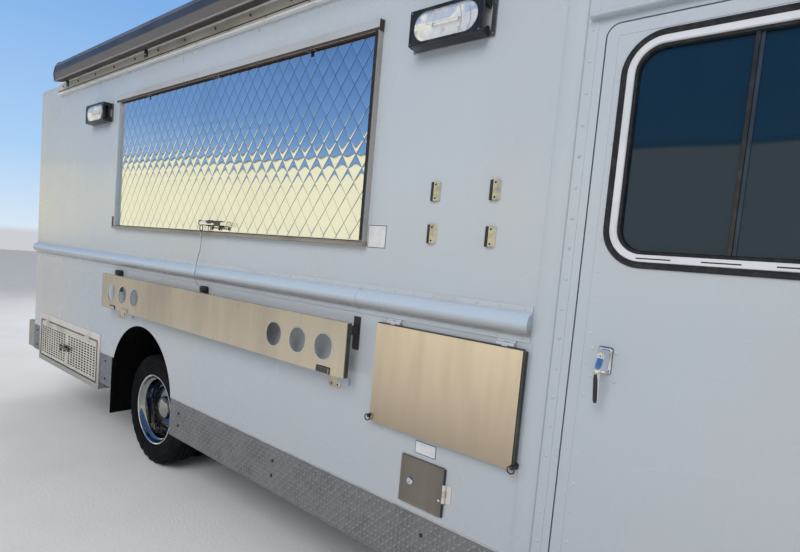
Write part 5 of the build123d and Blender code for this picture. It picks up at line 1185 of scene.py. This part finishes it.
def awning():
    at = right_wall
    bm = bmesh.new()
    ends = (AWNING_X[0] + 6, AWNING_X[1] - 6)
    # The case's underside is brown painted shade.
    rail(bm, at, AWNING_PROFILE, *ends, [2, 2, 1, 0, 0, 0, 0, 0, 0, 0])
    beads = [[(v - 2.2, w - 4), (v - 2.2, w + 1.2), (v + 2.2, w + 0.6), (v + 3, w - 4)]
        for v, w in ((3030, 116.5), (3046, 108.5))]
    beads.append([(2908.5, 112), (2908.5, 119.5), (2914, 121.5), (2914, 114)])
    for bead in beads:
        rail(bm, at, bead, *ends, [3] * len(bead))
    piece("awning_case", bm, "navy_shell beige_face stain_brown awning_line", "awning_shell",
        replaced="awning", angle=25)
    bm = bmesh.new()
    middle = (3000, 62)
    for x, side in ((AWNING_X[0], -1), (AWNING_X[1], 1)):
        loops = []
        for out, tall, deep, shift in ((-10, 1.045, 1.02, 1), (0, 1.045, 1.02, 1), (4, 0.98, 0.97, 0)):
            loops.append([at(x + side * out, middle[0] + (v - middle[0]) * tall,
                middle[1] + (w - middle[1]) * deep + shift) for v, w in AWNING_PROFILE])
        skin(bm, loops)
        for v, w in ((3035, 45), (2965, 90)):
            skin(bm, [[at(x + side * out, v + 6 * cos(t), w + 6 * sin(t)) for t in circle(10)]
                for out in (4, 8)], 1)
    piece("awning_caps", bm, "gloss_black bright_steel", "lamp_plastic")
    bm = bmesh.new()
    # The middle lip is brown painted shade between the outer lips.
    for mat, lip in ((1, [(2843.5, 0), (2843.5, 27.5), (2847.5, 28.5), (2854.5, 26.2), (2856, 0)]),
            (2, [(2866.5, 20), (2866.5, 26.2), (2873.5, 26.2), (2873.5, 20)]),
            (1, [(2928, 20), (2928, 28), (2936, 28.5), (2936.5, 20)])):
        rail(bm, at, lip, *AWNING_RAIL_X, [mat] * len(lip))
    spots = spaced(AWNING_RAIL_X[0] + 120, AWNING_RAIL_X[1] - 120, 360)
    hexes(bm, at, [(u, 2902) for u in spots], 13, 6, 25, 3)
    domes(bm, at, [(u + 140, 2860.5) for u in spots], 4, 2, 26.2, 3)
    domes(bm, at, [(u + 50, 2822) for u in spots[::2]], 4, 2.5, 0, 3)
    for u in (-3020, -1550, 100, 1400):
        block(bm, at, (u - 20, u + 20), (2884, 2938), (25.2, 33.5), 3, 3)
        hexes(bm, at, [(u, 2905)], 14, 6, 33.5, 4)
    piece("awning_rail_trim", bm, "cream_rail edge_white stain_brown shadow_steel bright_steel",
        "cream_rail")


awning()

# Rear: door trim, rivets, handle, seal, lamps and number plate bracket

MARKER_LAMPS_Y = (-1010, -230, 0, 230, 1010)
TAIL_LAMP_Y = 1010
TAIL_LAMPS_Z = (960, 1120)


def rear_details():
    at = rear_face
    bm = bmesh.new()
    holed(bm, at, outline(-408, 408, 792, 2638, 6, 4), outline(-370, 370, 830, 2600, 6, 4), (-2, 1.4),
        edge=0.6)
    piece("rear_door_band", bm, "white_paint", "white_paint", "rear_door")
    bm = bmesh.new()
    places = [(s * 389, v) for s in SIDES for v in spaced(850, 2580, 100)]
    places += [(u, v) for v in (811, 2619) for u in spaced(-360, 360, 100)]
    domes(bm, at, places, 5.5, 1.6, 1.2)
    piece("rear_door_rivets", bm, "rivet_paint", "white_paint", "rear_door", angle=50)
    bm = bmesh.new()
    places = [(s * 1165, v) for s in SIDES for v in spaced(760, 2860, 127)]
    places += [(u, 2862) for u in spaced(-1100, 1100, 127)]
    places += [(s * 455, v) for s in SIDES for v in spaced(800, 2700, 127)]
    domes(bm, at, places, 4.5, 2.6)
    piece("rear_rivets", bm, "rivet_paint", "white_paint", angle=50)
    bm = bmesh.new()
    block(bm, at, (-372, -318), (1660, 1790), (0, 4), 0, 1, 8, 4)
    turned(bm, at, -345, 1735, [(16, 4), (16, 22), (11, 26), (11, 40), (1, 41)], 24)
    tube(bm, [at(-345, 1735, 36), at(-325, 1735, 40), at(-280, 1733, 41), at(-235, 1730, 38)], 8.5)
    turned(bm, at, -345, 1685, [(11, 4), (11, 10), (8.5, 12), (1, 11.5)], 20)
    piece("rear_handle", bm, "chrome", "chrome", "rear_door")
    bm = bmesh.new()
    door_rim = outline(-425, 425, 775, 2655, 12, 4)
    stacked(bm, at, door_rim, [(0, 0), (0, 4.5), (4, 6.5), (8.5, 4.5), (8.5, 0)], ring=True)
    piece("rear_door_seal", bm, "rubber", "lamp_plastic")
    bm = bmesh.new()
    for side in SIDES:
        y = side * TAIL_LAMP_Y
        for z in TAIL_LAMPS_Z:
            turned(bm, at, y, z, [(56, 0), (56, 21.5), (53, 23.5), (50, 22)], 36, 2)
            turned(bm, at, y, z, [(50, 18), (49, 22.5), (40, 26), (30, 26.2), (29, 25), (16, 26.5),
                (15, 25.5), (0.1, 27.5)], 36)
    for y in MARKER_LAMPS_Y:
        turned(bm, at, y, 2840, [(32.5, 0), (32.5, 10), (30, 17), (20, 22.5), (0.1, 24.5)], 28)
    piece("tail_lenses", bm, "red_lens amber_lens gloss_black", "lamp_plastic")
    bm = bmesh.new()
    holed(bm, at, outline(645, 955, 920, 1080, 10, 4), outline(665, 935, 940, 1060, 6, 4), (0.5, 4))
    block(bm, at, (760, 840), (1084, 1112), (0, 30), 0, 3)
    piece("plate_bracket", bm, "gloss_black", "lamp_plastic")


rear_details()

# Front: windscreen, wipers, hood, grille, lamps and bumper


def plane_face(origin, u_dir, v_dir):
    """Maps (u, v, out) onto a plane through a point."""
    out_dir = Vector(u_dir).cross(Vector(v_dir))
    return lambda u, v, w=0: (mm(*origin) + Vector(u_dir) * (u / 1000) + Vector(v_dir) * (v / 1000)
        + out_dir * (w / 1000))


def leaning(top, foot):
    """The outer face between two points (x, z) of the front's outline."""
    rise = Vector((top[0] - foot[0], 0, top[1] - foot[1])).normalized()
    middle = ((top[0] + foot[0]) / 2, 0, (top[1] + foot[1]) / 2)
    return plane_face(middle, (0, 1, 0), rise)


SCREEN = leaning((2915, 2650), (3370, 1560))
FOREHEAD = leaning((2760, 2960), (2915, 2650))
HOOD_FACE = leaning((3430, 1520), (3850, 1370))
NOSE = plane_face((3890, 0, 0), (0, 1, 0), (0, 0, 1))
PANE_Y = 540
PANE_HALF_W = 510
PANE_HALF_H = 520.6
WIPER_PIVOT_Y = 300
WIPER_BLADE_Y = 690
HEADLAMP_Y = 760
TURN_LAMP = (990, 1000)  # out from the middle, up


def windscreen():
    bm = bmesh.new()
    for side in SIDES:
        middle = side * PANE_Y
        pane = outline(middle - PANE_HALF_W, middle + PANE_HALF_W, -PANE_HALF_H, PANE_HALF_H, 60, 8)
        stacked(bm, SCREEN, pane, [(-14, 0), (-14.5, 4), (-9, 9), (0, 10), (8, 6), (12, -6), (12, -11)],
            ring=True)
    piece("windscreen_gasket", bm, "rubber", "lamp_plastic")
    bm = bmesh.new()
    block(bm, SCREEN, (-14, 14), (-520, 520), (0.4, 4), 0, 1.5)
    for v in (565, -570):
        domes(bm, SCREEN, [(u, v) for u in spaced(-1040, 1040, 130)], 4.5, 2.2, 0, 1)
    piece("windscreen_post_cover", bm, "white_paint rivet_paint", "white_paint")
    bm = bmesh.new()
    for side in SIDES:
        pivot = side * WIPER_PIVOT_Y
        tip = side * WIPER_BLADE_Y
        turned(bm, SCREEN, pivot, -568, [(19, 0), (19, 12), (12, 20), (12, 30), (1, 31)], 20)
        arm = [SCREEN(pivot, -568, 26), SCREEN((pivot + tip) / 2, -530, 31), SCREEN(tip, -470, 22)]
        tube(bm, arm, 5.5, steps=8)
        rail_shape = [(-5, 11), (-4, 20), (4, 20), (5, 11), (0, 1)]
        ends = [(tip - 270, -482), (tip + 270, -458)]
        skin(bm, [[SCREEN(u, v + dv, w) for dv, w in rail_shape] for u, v in ends], 1)
        block(bm, SCREEN, (tip - 18, tip + 18), (-480, -460), (18, 28), 0, 2)
    piece("wipers", bm, "gloss_black rubber", "lamp_plastic")


windscreen()


def front_lamps():
    bm = bmesh.new()
    for side in SIDES:
        u0, u1 = side * HEADLAMP_Y - 105, side * HEADLAMP_Y + 105
        outer = outline(u0 + 0.5, u1 - 0.5, 925.5, 1074.5, 14, 6)
        holed(bm, NOSE, outer, outline(u0 + 13, u1 - 13, 938, 1062, 12, 6), (4.5, 11), 0, 1.6)
        domes(bm, NOSE, [(u0 + 6.5, v) for v in (940, 1060)] + [(u1 - 6.5, v) for v in (940, 1060)], 3, 1.4,
            11)
    piece("headlamp_bezels", bm, "chrome", "chrome")
    bm = bmesh.new()
    for side in SIDES:
        u0, u1 = side * HEADLAMP_Y - 92, side * HEADLAMP_Y + 92
        stacked(bm, NOSE, outline(u0, u1, 938, 1062, 12, 6),
            [(0, 6), (0.5, 8), (8, 9.4), (30, 10.4), (50, 10.8)])
        for k in range(9):
            u = u0 + 12 + k * 20
            block(bm, NOSE, (u - 1.6, u + 1.6), (955, 1045), (9, 12.2), 0, 0.8)
    piece("headlamp_lenses", bm, "pearl_lens", "lamp_plastic")
    bm = bmesh.new()
    for u in MARKER_LAMPS_Y:
        turned(bm, FOREHEAD, u, 0, [(33.5, 0), (33.5, 8), (32.2, 8.5)], 32, 1)
        turned(bm, FOREHEAD, u, 0, [(32.5, 8), (32.2, 20), (29, 24), (18, 26.8), (0.1, 27.6)], 32)
    for side in SIDES:
        y, z = side * TURN_LAMP[0], TURN_LAMP[1]
        turned(bm, NOSE, y, z, [(44, 0), (44, 10), (42, 12)], 32, 1)
        turned(bm, NOSE, y, z, [(42.5, 8), (42, 18), (36, 23.5), (20, 26.2), (0.1, 27)], 32)
    piece("amber_lenses", bm, "amber_lens gloss_black", "lamp_plastic")


front_lamps()


def nose_details():
    bm = bmesh.new()
    outer = outline(-446, 446, 704, 1196, 12, 4)
    holed(bm, NOSE, outer, outline(-428.5, 428.5, 721.5, 1178.5, 6, 4), (0, 6.5), 0, 2)
    domes(bm, NOSE, [(u, v) for u in spaced(-400, 400, 200) for v in (712.8, 1187.2)], 3.5, 1.8, 6.5, 1)
    piece("grille_surround", bm, "white_paint rivet_paint", "white_paint")
    bm = bmesh.new()
    pitch = (1180 - 720 - 25) / 8
    lip = [(0, 0), (1, 3.5), (12.5, 6), (24, 3.5), (25, 0)]
    for bar in range(1, 8):
        low = 720 + bar * pitch
        skin(bm, [[NOSE(u, low + dv, w) for dv, w in lip] for u in (-404, 404)])
    for u in (-135, 135):
        block(bm, NOSE, (u - 6, u + 6), (742, 1158), (-24, -6), 0, 2)
    piece("grille_bar_faces", bm, "gloss_black", "lamp_plastic")
    bm = bmesh.new()
    fins = [(-400, 742), (400, 742), (400, 1158), (-400, 1158)]
    skin(bm, [[NOSE(u, v, w) for u, v in fins] for w in (-60, -56)])
    for u in spaced(-392, 392, 14):
        block(bm, NOSE, (u - 1.2, u + 1.2), (745, 1155), (-56, -50), 0, 0.5)
    piece("radiator_core", bm, "shadow_steel", "black_steel")
    bm = bmesh.new()
    panel = outline(-575, 575, -178, 178, 30, 6)
    stacked(bm, HOOD_FACE, panel, [(0, 0), (4, 3.5), (12, 5.5), (60, 6.5)])
    piece("hood_stamping", bm, "white_paint", "white_paint", "hood")
    bm = bmesh.new()
    for u in (-470, 470):
        block(bm, HOOD_FACE, (u - 16, u + 16), (-196, -110), (0.5, 12), 0, 3, 8, 4)
        block(bm, HOOD_FACE, (u - 24, u + 24), (-150, -128), (10, 24), 0, 4)
    piece("hood_latches", bm, "rubber", "lamp_plastic", "hood")
    bm = bmesh.new()
    bumper_face = plane_face((3985, 0, 0), (0, 1, 0), (0, 0, 1))
    domes(bm, bumper_face, [(s * u, v) for s in SIDES for u in (360, 460) for v in (480, 590)], 12, 0, -6.5)
    holed(bm, bumper_face, outline(-155, 155, 460, 610, 10, 4), outline(-150, 150, 465, 605, 8, 4),
        (-6, -2), 1, 0.8)
    for v in (447, 623):
        rail(bm, bumper_face, [(v - 4, -7.5), (v - 3, -0.5), (v + 3, -0.5), (v + 4, -7.5)], -1125, 1125)
    piece("bumper_front_trim", bm, "chrome gloss_black", "chrome")


nose_details()

# Mirrors

MIRROR_Y = 1340
MIRROR_Z = 2050


def mirror_face(side, x, outward):
    """Maps (away from the truck, up, out) onto the back or the front of a mirror."""
    return lambda u, v, w=0: mm(x + outward * w, side * (MIRROR_Y + u), MIRROR_Z + v)


def mirror_details():
    bm = bmesh.new()
    shell = bmesh.new()
    for side in SIDES:
        back = mirror_face(side, 2740, -1)
        front = mirror_face(side, 2780, 1)
        for low, high in ((-60, 190), (-190, -75)):
            stacked(bm, back, outline(-100, 100, low, high, 14, 6), [(0, 0.5), (1, 2.2), (20, 2.6)])
        rim = outline(-110, 110, -200, 200, 16, 6)
        holed(shell, back, rim, outline(-102, 102, -192, 192, 14, 6), (-2, 7), 0, 2)
        block(shell, back, (-101, 101), (-73, -62), (0, 5), 0, 1.5)
        stacked(shell, front, rim, [(-0.5, -38), (-0.5, 0), (4, 6), (16, 11), (50, 14)])
        for v in (-155, 155):
            block(shell, front, (-20, 20), (v - 22, v + 22), (12, 20), 1, 3)
            domes(shell, front, [(-10, v), (10, v)], 5, 3, 20, 2)
        at = wall_face(side)
        for z in (1750, 2350):
            hexes(shell, at, [(2626, z - 16), (2626, z + 16)], 11, 5, 24, 2)
    piece("mirror_glass", bm, "chrome", "chrome")
    piece("mirror_shells", shell, "gloss_black black_steel bright_steel", "lamp_plastic")


mirror_details()

# Roof: battens, fan and hatch lid

ROOF_Z = 2960
FAN_X = -900


def roof_face(u, v, w=0):
    return mm(u, v, ROOF_Z + w)


def roof_details():
    bm = bmesh.new()
    for u in spaced(-3600, 2600, 1030):
        block(bm, roof_face, (u - 24, u + 24), (-1135, 1135), (-0.4, 3), 0, 1.2)
        places = [(u + du, v) for v in spaced(-1110, 1110, 110) for du in (-13, 13)]
        domes(bm, roof_face, places, 4.5, 2.2, 3, 1, 6)
    piece("roof_battens", bm, "white_paint rivet_paint", "white_paint", angle=50)
    bm = bmesh.new()
    turned(bm, roof_face, FAN_X, 0, [(345, 0), (345, 4), (302, 6), (300, 30), (300, 100), (306, 104),
        (306, 112), (290, 116)], 56, 1)
    for turn in circle(10):
        spoke = Vector((cos(turn), sin(turn)))
        across = Vector((-spoke.y, spoke.x)) * 6
        foot = [spoke * 285 + across, spoke * 285 - across, spoke * 325 - across, spoke * 325 + across]
        skin(bm, [[roof_face(FAN_X + p.x, p.y, w) for p in foot] for w in (108, 150)], 1)
    turned(bm, roof_face, FAN_X, 0, [(270, 150), (330, 146), (372, 136), (380, 124), (380, 138), (376, 150),
        (352, 176), (315, 196), (262, 214), (222, 226), (215, 236), (215, 268), (208, 278), (178, 294),
        (120, 310), (60, 318), (1, 320)], 64)
    domes(bm, roof_face, [(FAN_X + 340 * cos(t), 340 * sin(t)) for t in circle(12)], 6, 3, 183.5, 1)
    domes(bm, roof_face, [(FAN_X + 325 * cos(t), 325 * sin(t)) for t in circle(12, 0.5)], 6, 3, 4.5, 1)
    piece("roof_fan", bm, "aluminium bright_steel", "aluminium", replaced="roof_vents")
    bm = bmesh.new()
    block(bm, roof_face, (670, 1130), (-230, 230), (-0.4, 3), 1, 1, 12, 4)
    block(bm, roof_face, (710, 1090), (-190, 190), (3, 62), 1, 2, 10, 4)
    lid = outline(700, 1100, -200, 200, 30, 6)
    stacked(bm, roof_face, lid, [(2, 40), (0, 44), (0, 66), (6, 76), (24, 82), (80, 87), (150, 89)])
    for v in (-120, 0, 120):
        block(bm, roof_face, (760, 1040), (v - 6, v + 6), (85, 90.5), 0, 1.6)
    piece("roof_hatch_lid", bm, "frame_white aluminium", "white_paint", replaced="roof_vents")


roof_details()

# Driver's seat


def pad(name, at, half_u, half_v, half_w, channels, grid=28):
    """A crowned cushion: its sides pull in between the corners, and sewn channels run across."""
    bm = bmesh.new()
    rows = {}

    def pulled(a, b):
        return a * half_u * (1 - 0.03 * (1 - b * b)), b * half_v * (1 - 0.03 * (1 - a * a))

    for face in (-1, 1):
        for i in range(grid + 1):
            for j in range(grid + 1):
                a = -cos(pi * i / grid)
                b = -cos(pi * j / grid)
                swell = ((1 - abs(a) ** 6) * (1 - abs(b) ** 6)) ** 0.38
                sewn = sum(exp(-((a - line) / 0.035) ** 2) for line in channels)
                w = face * half_w * swell * (1 - 0.16 * min(1, sewn) * (1 - abs(b) ** 8))
                rows[face, i, j] = bm.verts.new(at(*pulled(a, b), w))
        for i in range(grid):
            for j in range(grid):
                bm.faces.new([rows[face, i + a, j + b] for a, b in ((0, 0), (1, 0), (1, 1), (0, 1))])
    shape = piece(name, bm, "seat_vinyl", "seat_vinyl", replaced="driver_seat", angle=60)
    steps = [k / 6 - 1 for k in range(12)]
    rim = [(s, -1) for s in steps] + [(1, s) for s in steps] + [(-s, 1) for s in steps]
    rim += [(-1, -s) for s in steps + [1]]
    line = [at(*pulled(a, b), 0) for a, b in rim]
    bm = bmesh.new()
    tube(bm, line, 4.2, steps=6)
    piece(f"{name}_piping", bm, "seam_thread", "seat_vinyl")


def driver_seat():
    lean = Vector((-80, 0, 640)).normalized()
    cushion = plane_face((2080, 520, 1200), (1, 0, 0), (0, 1, 0))
    back = plane_face((1862, 520, 1590), (0, -1, 0), lean)
    pad("seat_cushion", cushion, 226, 234, 60, (-0.5, 0, 0.5))
    pad("seat_back", lambda u, v, w=0: back(v, u, w), 300, 224, 52, (-0.55, -0.1, 0.35))
    bm = bmesh.new()
    at = plane_face((2080, 520, 780), (1, 0, 0), (0, 1, 0))
    for inward, low, high in ((0, 0, 12), (45, 12, 275), (10, 275, 300)):
        points = outline(-170 + inward, 170 - inward, -160 + inward, 160 - inward, 20, 5)
        stacked(bm, at, points, [(0, low), (0, high - 2), (2, high)])
    for v in (-120, 120):
        block(bm, at, (-170, 185), (v - 16, v + 16), (300, 362), 1, 3)
    hexes(bm, at, [(u, v) for u in (-150, 150) for v in (-140, 140)], 14, 6, 12, 1)
    piece("seat_pedestal", bm, "black_steel bright_steel", "black_steel", replaced="driver_seat")


driver_seat()

# Below the floor: tank straps


def tank_straps():
    bm = bmesh.new()
    for x in (780, 1120):
        loops = []
        for u in (x - 22, x + 22):
            for grow in ((0, 3) if u < x else (3, 0)):
                ring = outline(-1020 - grow, -470 + grow, 430 - grow, 690 + grow, 60 + grow, 8)
                loops.append([mm(u, y, z) for y, z in ring])
        skin(bm, loops, ring=True)
    piece("tank_straps", bm, "bright_steel", "stainless")


tank_straps()

# Lanyard

LANYARD_ROUTE = [
    (-0.694, -1.226, 1.698), (-0.694, -1.226, 1.660), (-0.690, -1.232, 1.603),
    (-0.695, -1.245, 1.548), (-0.686, -1.257, 1.492), (-0.690, -1.262, 1.440),
    (-0.670, -1.254, 1.403), (-0.650, -1.238, 1.383), (-0.650, -1.218, 1.383),
]
LANYARD_D = 0.004


def lanyard_piece():
    data = bpy.data.curves.new("lanyard_cord", "CURVE")
    data.dimensions = "3D"
    data.bevel_depth = LANYARD_D / 2
    data.bevel_resolution = 3
    spline = data.splines.new("NURBS")
    spline.points.add(len(LANYARD_ROUTE) - 1)
    for point, place in zip(spline.points, LANYARD_ROUTE):
        point.co = (*place, 1.0)
    spline.order_u = 3
    spline.use_endpoint_u = True
    spline.resolution_u = 12
    data.materials.append(LOOKS["cord_fibre"])
    piece = bpy.data.objects.new("lanyard_cord", data)
    bpy.context.scene.collection.objects.link(piece)
    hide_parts("lanyard")
    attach(piece, "root")


lanyard_piece()

# Stage, lights and camera

CAMERA_PLACE = (2.317, -2.937, 1.659)
CAMERA_YAW = radians(-39.60)
CAMERA_PITCH = radians(4.41)
CAMERA_ROLL = radians(5.02)
LENS = 24.0075  # mm, on a 36 mm wide sensor
SHIFT_Y = 0.03


def camera_axes():
    level = cos(CAMERA_PITCH)
    ahead = Vector((sin(CAMERA_YAW) * level, cos(CAMERA_YAW) * level, -sin(CAMERA_PITCH)))
    side = Vector((cos(CAMERA_YAW), -sin(CAMERA_YAW), 0))
    up = side.cross(ahead)
    right = side * cos(CAMERA_ROLL) + up * sin(CAMERA_ROLL)
    up = up * cos(CAMERA_ROLL) - side * sin(CAMERA_ROLL)
    return right, up, -ahead


SKY_DEEP = [(0.0, (0.62, 0.74, 0.86)), (0.10, (0.36, 0.54, 0.80)), (0.20, (0.17, 0.34, 0.64)),
    (0.36, (0.095, 0.215, 0.48)), (1.0, (0.05, 0.13, 0.36))]
SKY_PALE = [(0.0, (0.68, 0.80, 0.92)), (0.12, (0.42, 0.64, 0.92)), (0.35, (0.22, 0.44, 0.82)),
    (1.0, (0.10, 0.25, 0.60))]


def add_camera():
    data = bpy.data.cameras.new("view")
    data.sensor_width = 36.0
    data.lens = LENS
    data.shift_y = SHIFT_Y
    data.clip_end = 200
    camera = bpy.data.objects.new("view", data)
    bpy.context.scene.collection.objects.link(camera)
    turn = Matrix(camera_axes()).transposed().to_4x4()
    camera.matrix_world = Matrix.Translation(CAMERA_PLACE) @ turn
    bpy.context.scene.camera = camera


def add_light(name, place, target, size, watts, color=(1, 1, 1)):
    data = bpy.data.lights.new(name, "AREA")
    data.shape = "SQUARE"
    data.size = size
    data.energy = watts
    data.color = color
    lamp = bpy.data.objects.new(name, data)
    bpy.context.scene.collection.objects.link(lamp)
    lamp.location = place
    lamp.rotation_euler = (Vector(target) - Vector(place)).to_track_quat("-Z", "Y").to_euler()
    lamp.visible_glossy = False


def world_math(tree, operation, *values, clamp=False):
    node = tree.nodes.new("ShaderNodeMath")
    node.operation = operation
    node.use_clamp = clamp
    for socket, value in zip(node.inputs, values):
        if isinstance(value, (int, float)):
            socket.default_value = value
        else:
            tree.links.new(value, socket)
    return node.outputs[0]


def world_blend(tree, share, one, two):
    node = tree.nodes.new("ShaderNodeMix")
    node.data_type = "RGBA"
    tree.links.new(share, node.inputs["Factor"])
    for socket, value in (("A", one), ("B", two)):
        if isinstance(value, tuple):
            node.inputs[socket].default_value = (*value, 1)
        else:
            tree.links.new(value, node.inputs[socket])
    return node.outputs["Result"]


def world_sky(tree, height, bands):
    """The sky's colour at a height."""
    ramp = tree.nodes.new("ShaderNodeValToRGB")
    while len(ramp.color_ramp.elements) < len(bands):
        ramp.color_ramp.elements.new(1.0)
    for element, (at, color) in zip(ramp.color_ramp.elements, bands):
        element.position = at
        element.color = (*color, 1)
    tree.links.new(height, ramp.inputs["Fac"])
    return ramp.outputs["Color"]


def seen_color(tree, camera_ray):
    """A blue sky, and for what mirrors see also a low cream wall towards -Y."""
    def math(*call, clamp=False):
        return world_math(tree, *call, clamp=clamp)

    def blend(*call):
        return world_blend(tree, *call)

    place = tree.nodes.new("ShaderNodeTexCoord")
    split = tree.nodes.new("ShaderNodeSeparateXYZ")
    tree.links.new(place.outputs["Generated"], split.inputs["Vector"])
    up = split.outputs["Z"]
    right = math("MULTIPLY", split.outputs["Y"], -1.0)
    deep = world_sky(tree, up, SKY_DEEP)
    pale = world_sky(tree, up, SKY_PALE)
    mirrored = math("SUBTRACT", 1.0, camera_ray)
    share = math("MULTIPLY_ADD", right, 2.0, 0.5, clamp=True)
    color = blend(math("MULTIPLY", share, mirrored), pale, deep)
    top = math("MULTIPLY_ADD", right, 0.18, 0.05)
    under = math("SUBTRACT", top, up)
    near = math("MULTIPLY", math("MULTIPLY_ADD", right, 20.0, -2.4, clamp=True), mirrored)
    rim = math("MULTIPLY_ADD", under, 180.0, 1.6, clamp=True)
    wall = math("MULTIPLY_ADD", under, 180.0, 0.0, clamp=True)
    color = blend(math("MULTIPLY", rim, near), color, (0.16, 0.20, 0.20))
    color = blend(math("MULTIPLY", wall, near), color, (0.93, 0.90, 0.64))
    return blend(math("MULTIPLY", up, -100.0, clamp=True), color, (0.60, 0.62, 0.65))


def studio_world():
    """Soft white light, while the camera, mirrors and glass see the sky's colours."""
    world = bpy.data.worlds.new("studio")
    world.use_nodes = True
    bpy.context.scene.world = world
    tree = world.node_tree
    tree.nodes.clear()
    out = tree.nodes.new("ShaderNodeOutputWorld")
    light = tree.nodes.new("ShaderNodeBackground")
    light.inputs["Color"].default_value = (0.93, 0.96, 1.0, 1)
    light.inputs["Strength"].default_value = 0.53
    seen = tree.nodes.new("ShaderNodeBackground")
    rays = tree.nodes.new("ShaderNodeLightPath")
    total = rays.outputs["Is Camera Ray"]
    tree.links.new(seen_color(tree, total), seen.inputs["Color"])
    for kind in ("Is Glossy Ray", "Is Transmission Ray"):
        total = world_math(tree, "MAXIMUM", total, rays.outputs[kind])
    mix = tree.nodes.new("ShaderNodeMixShader")
    tree.links.new(total, mix.inputs["Fac"])
    tree.links.new(light.outputs["Background"], mix.inputs[1])
    tree.links.new(seen.outputs["Background"], mix.inputs[2])
    tree.links.new(mix.outputs["Shader"], out.inputs["Surface"])


def add_floor():
    mesh = bpy.data.meshes.new("studio_floor")
    reach = 40.0
    mesh.from_pydata([(-reach, -reach, 0), (reach, -reach, 0), (reach, reach, 0), (-reach, reach, 0)], [],
        [(0, 1, 2, 3)])
    ground = bpy.data.objects.new("studio_floor", mesh)
    bpy.context.scene.collection.objects.link(ground)
    mesh.materials.append(look("pale_floor", (0.82, 0.82, 0.82), 0.85, 0, (1.5, (0.77, 0.77, 0.77), 6),
        (60, 0.002, EVEN, 6)))


add_floor()
studio_world()
add_light("key", (2.0, -9.0, 8.0), (-0.5, -1.2, 1.5), 6.0, 560)
add_light("fill", (9.0, 5.0, 6.0), (0, 0, 1.5), 6.0, 340)
add_light("back", (-9.0, 5.0, 6.0), (0, 0, 1.5), 6.0, 340)
add_camera()
bpy.context.scene.view_settings.view_transform = "Standard"
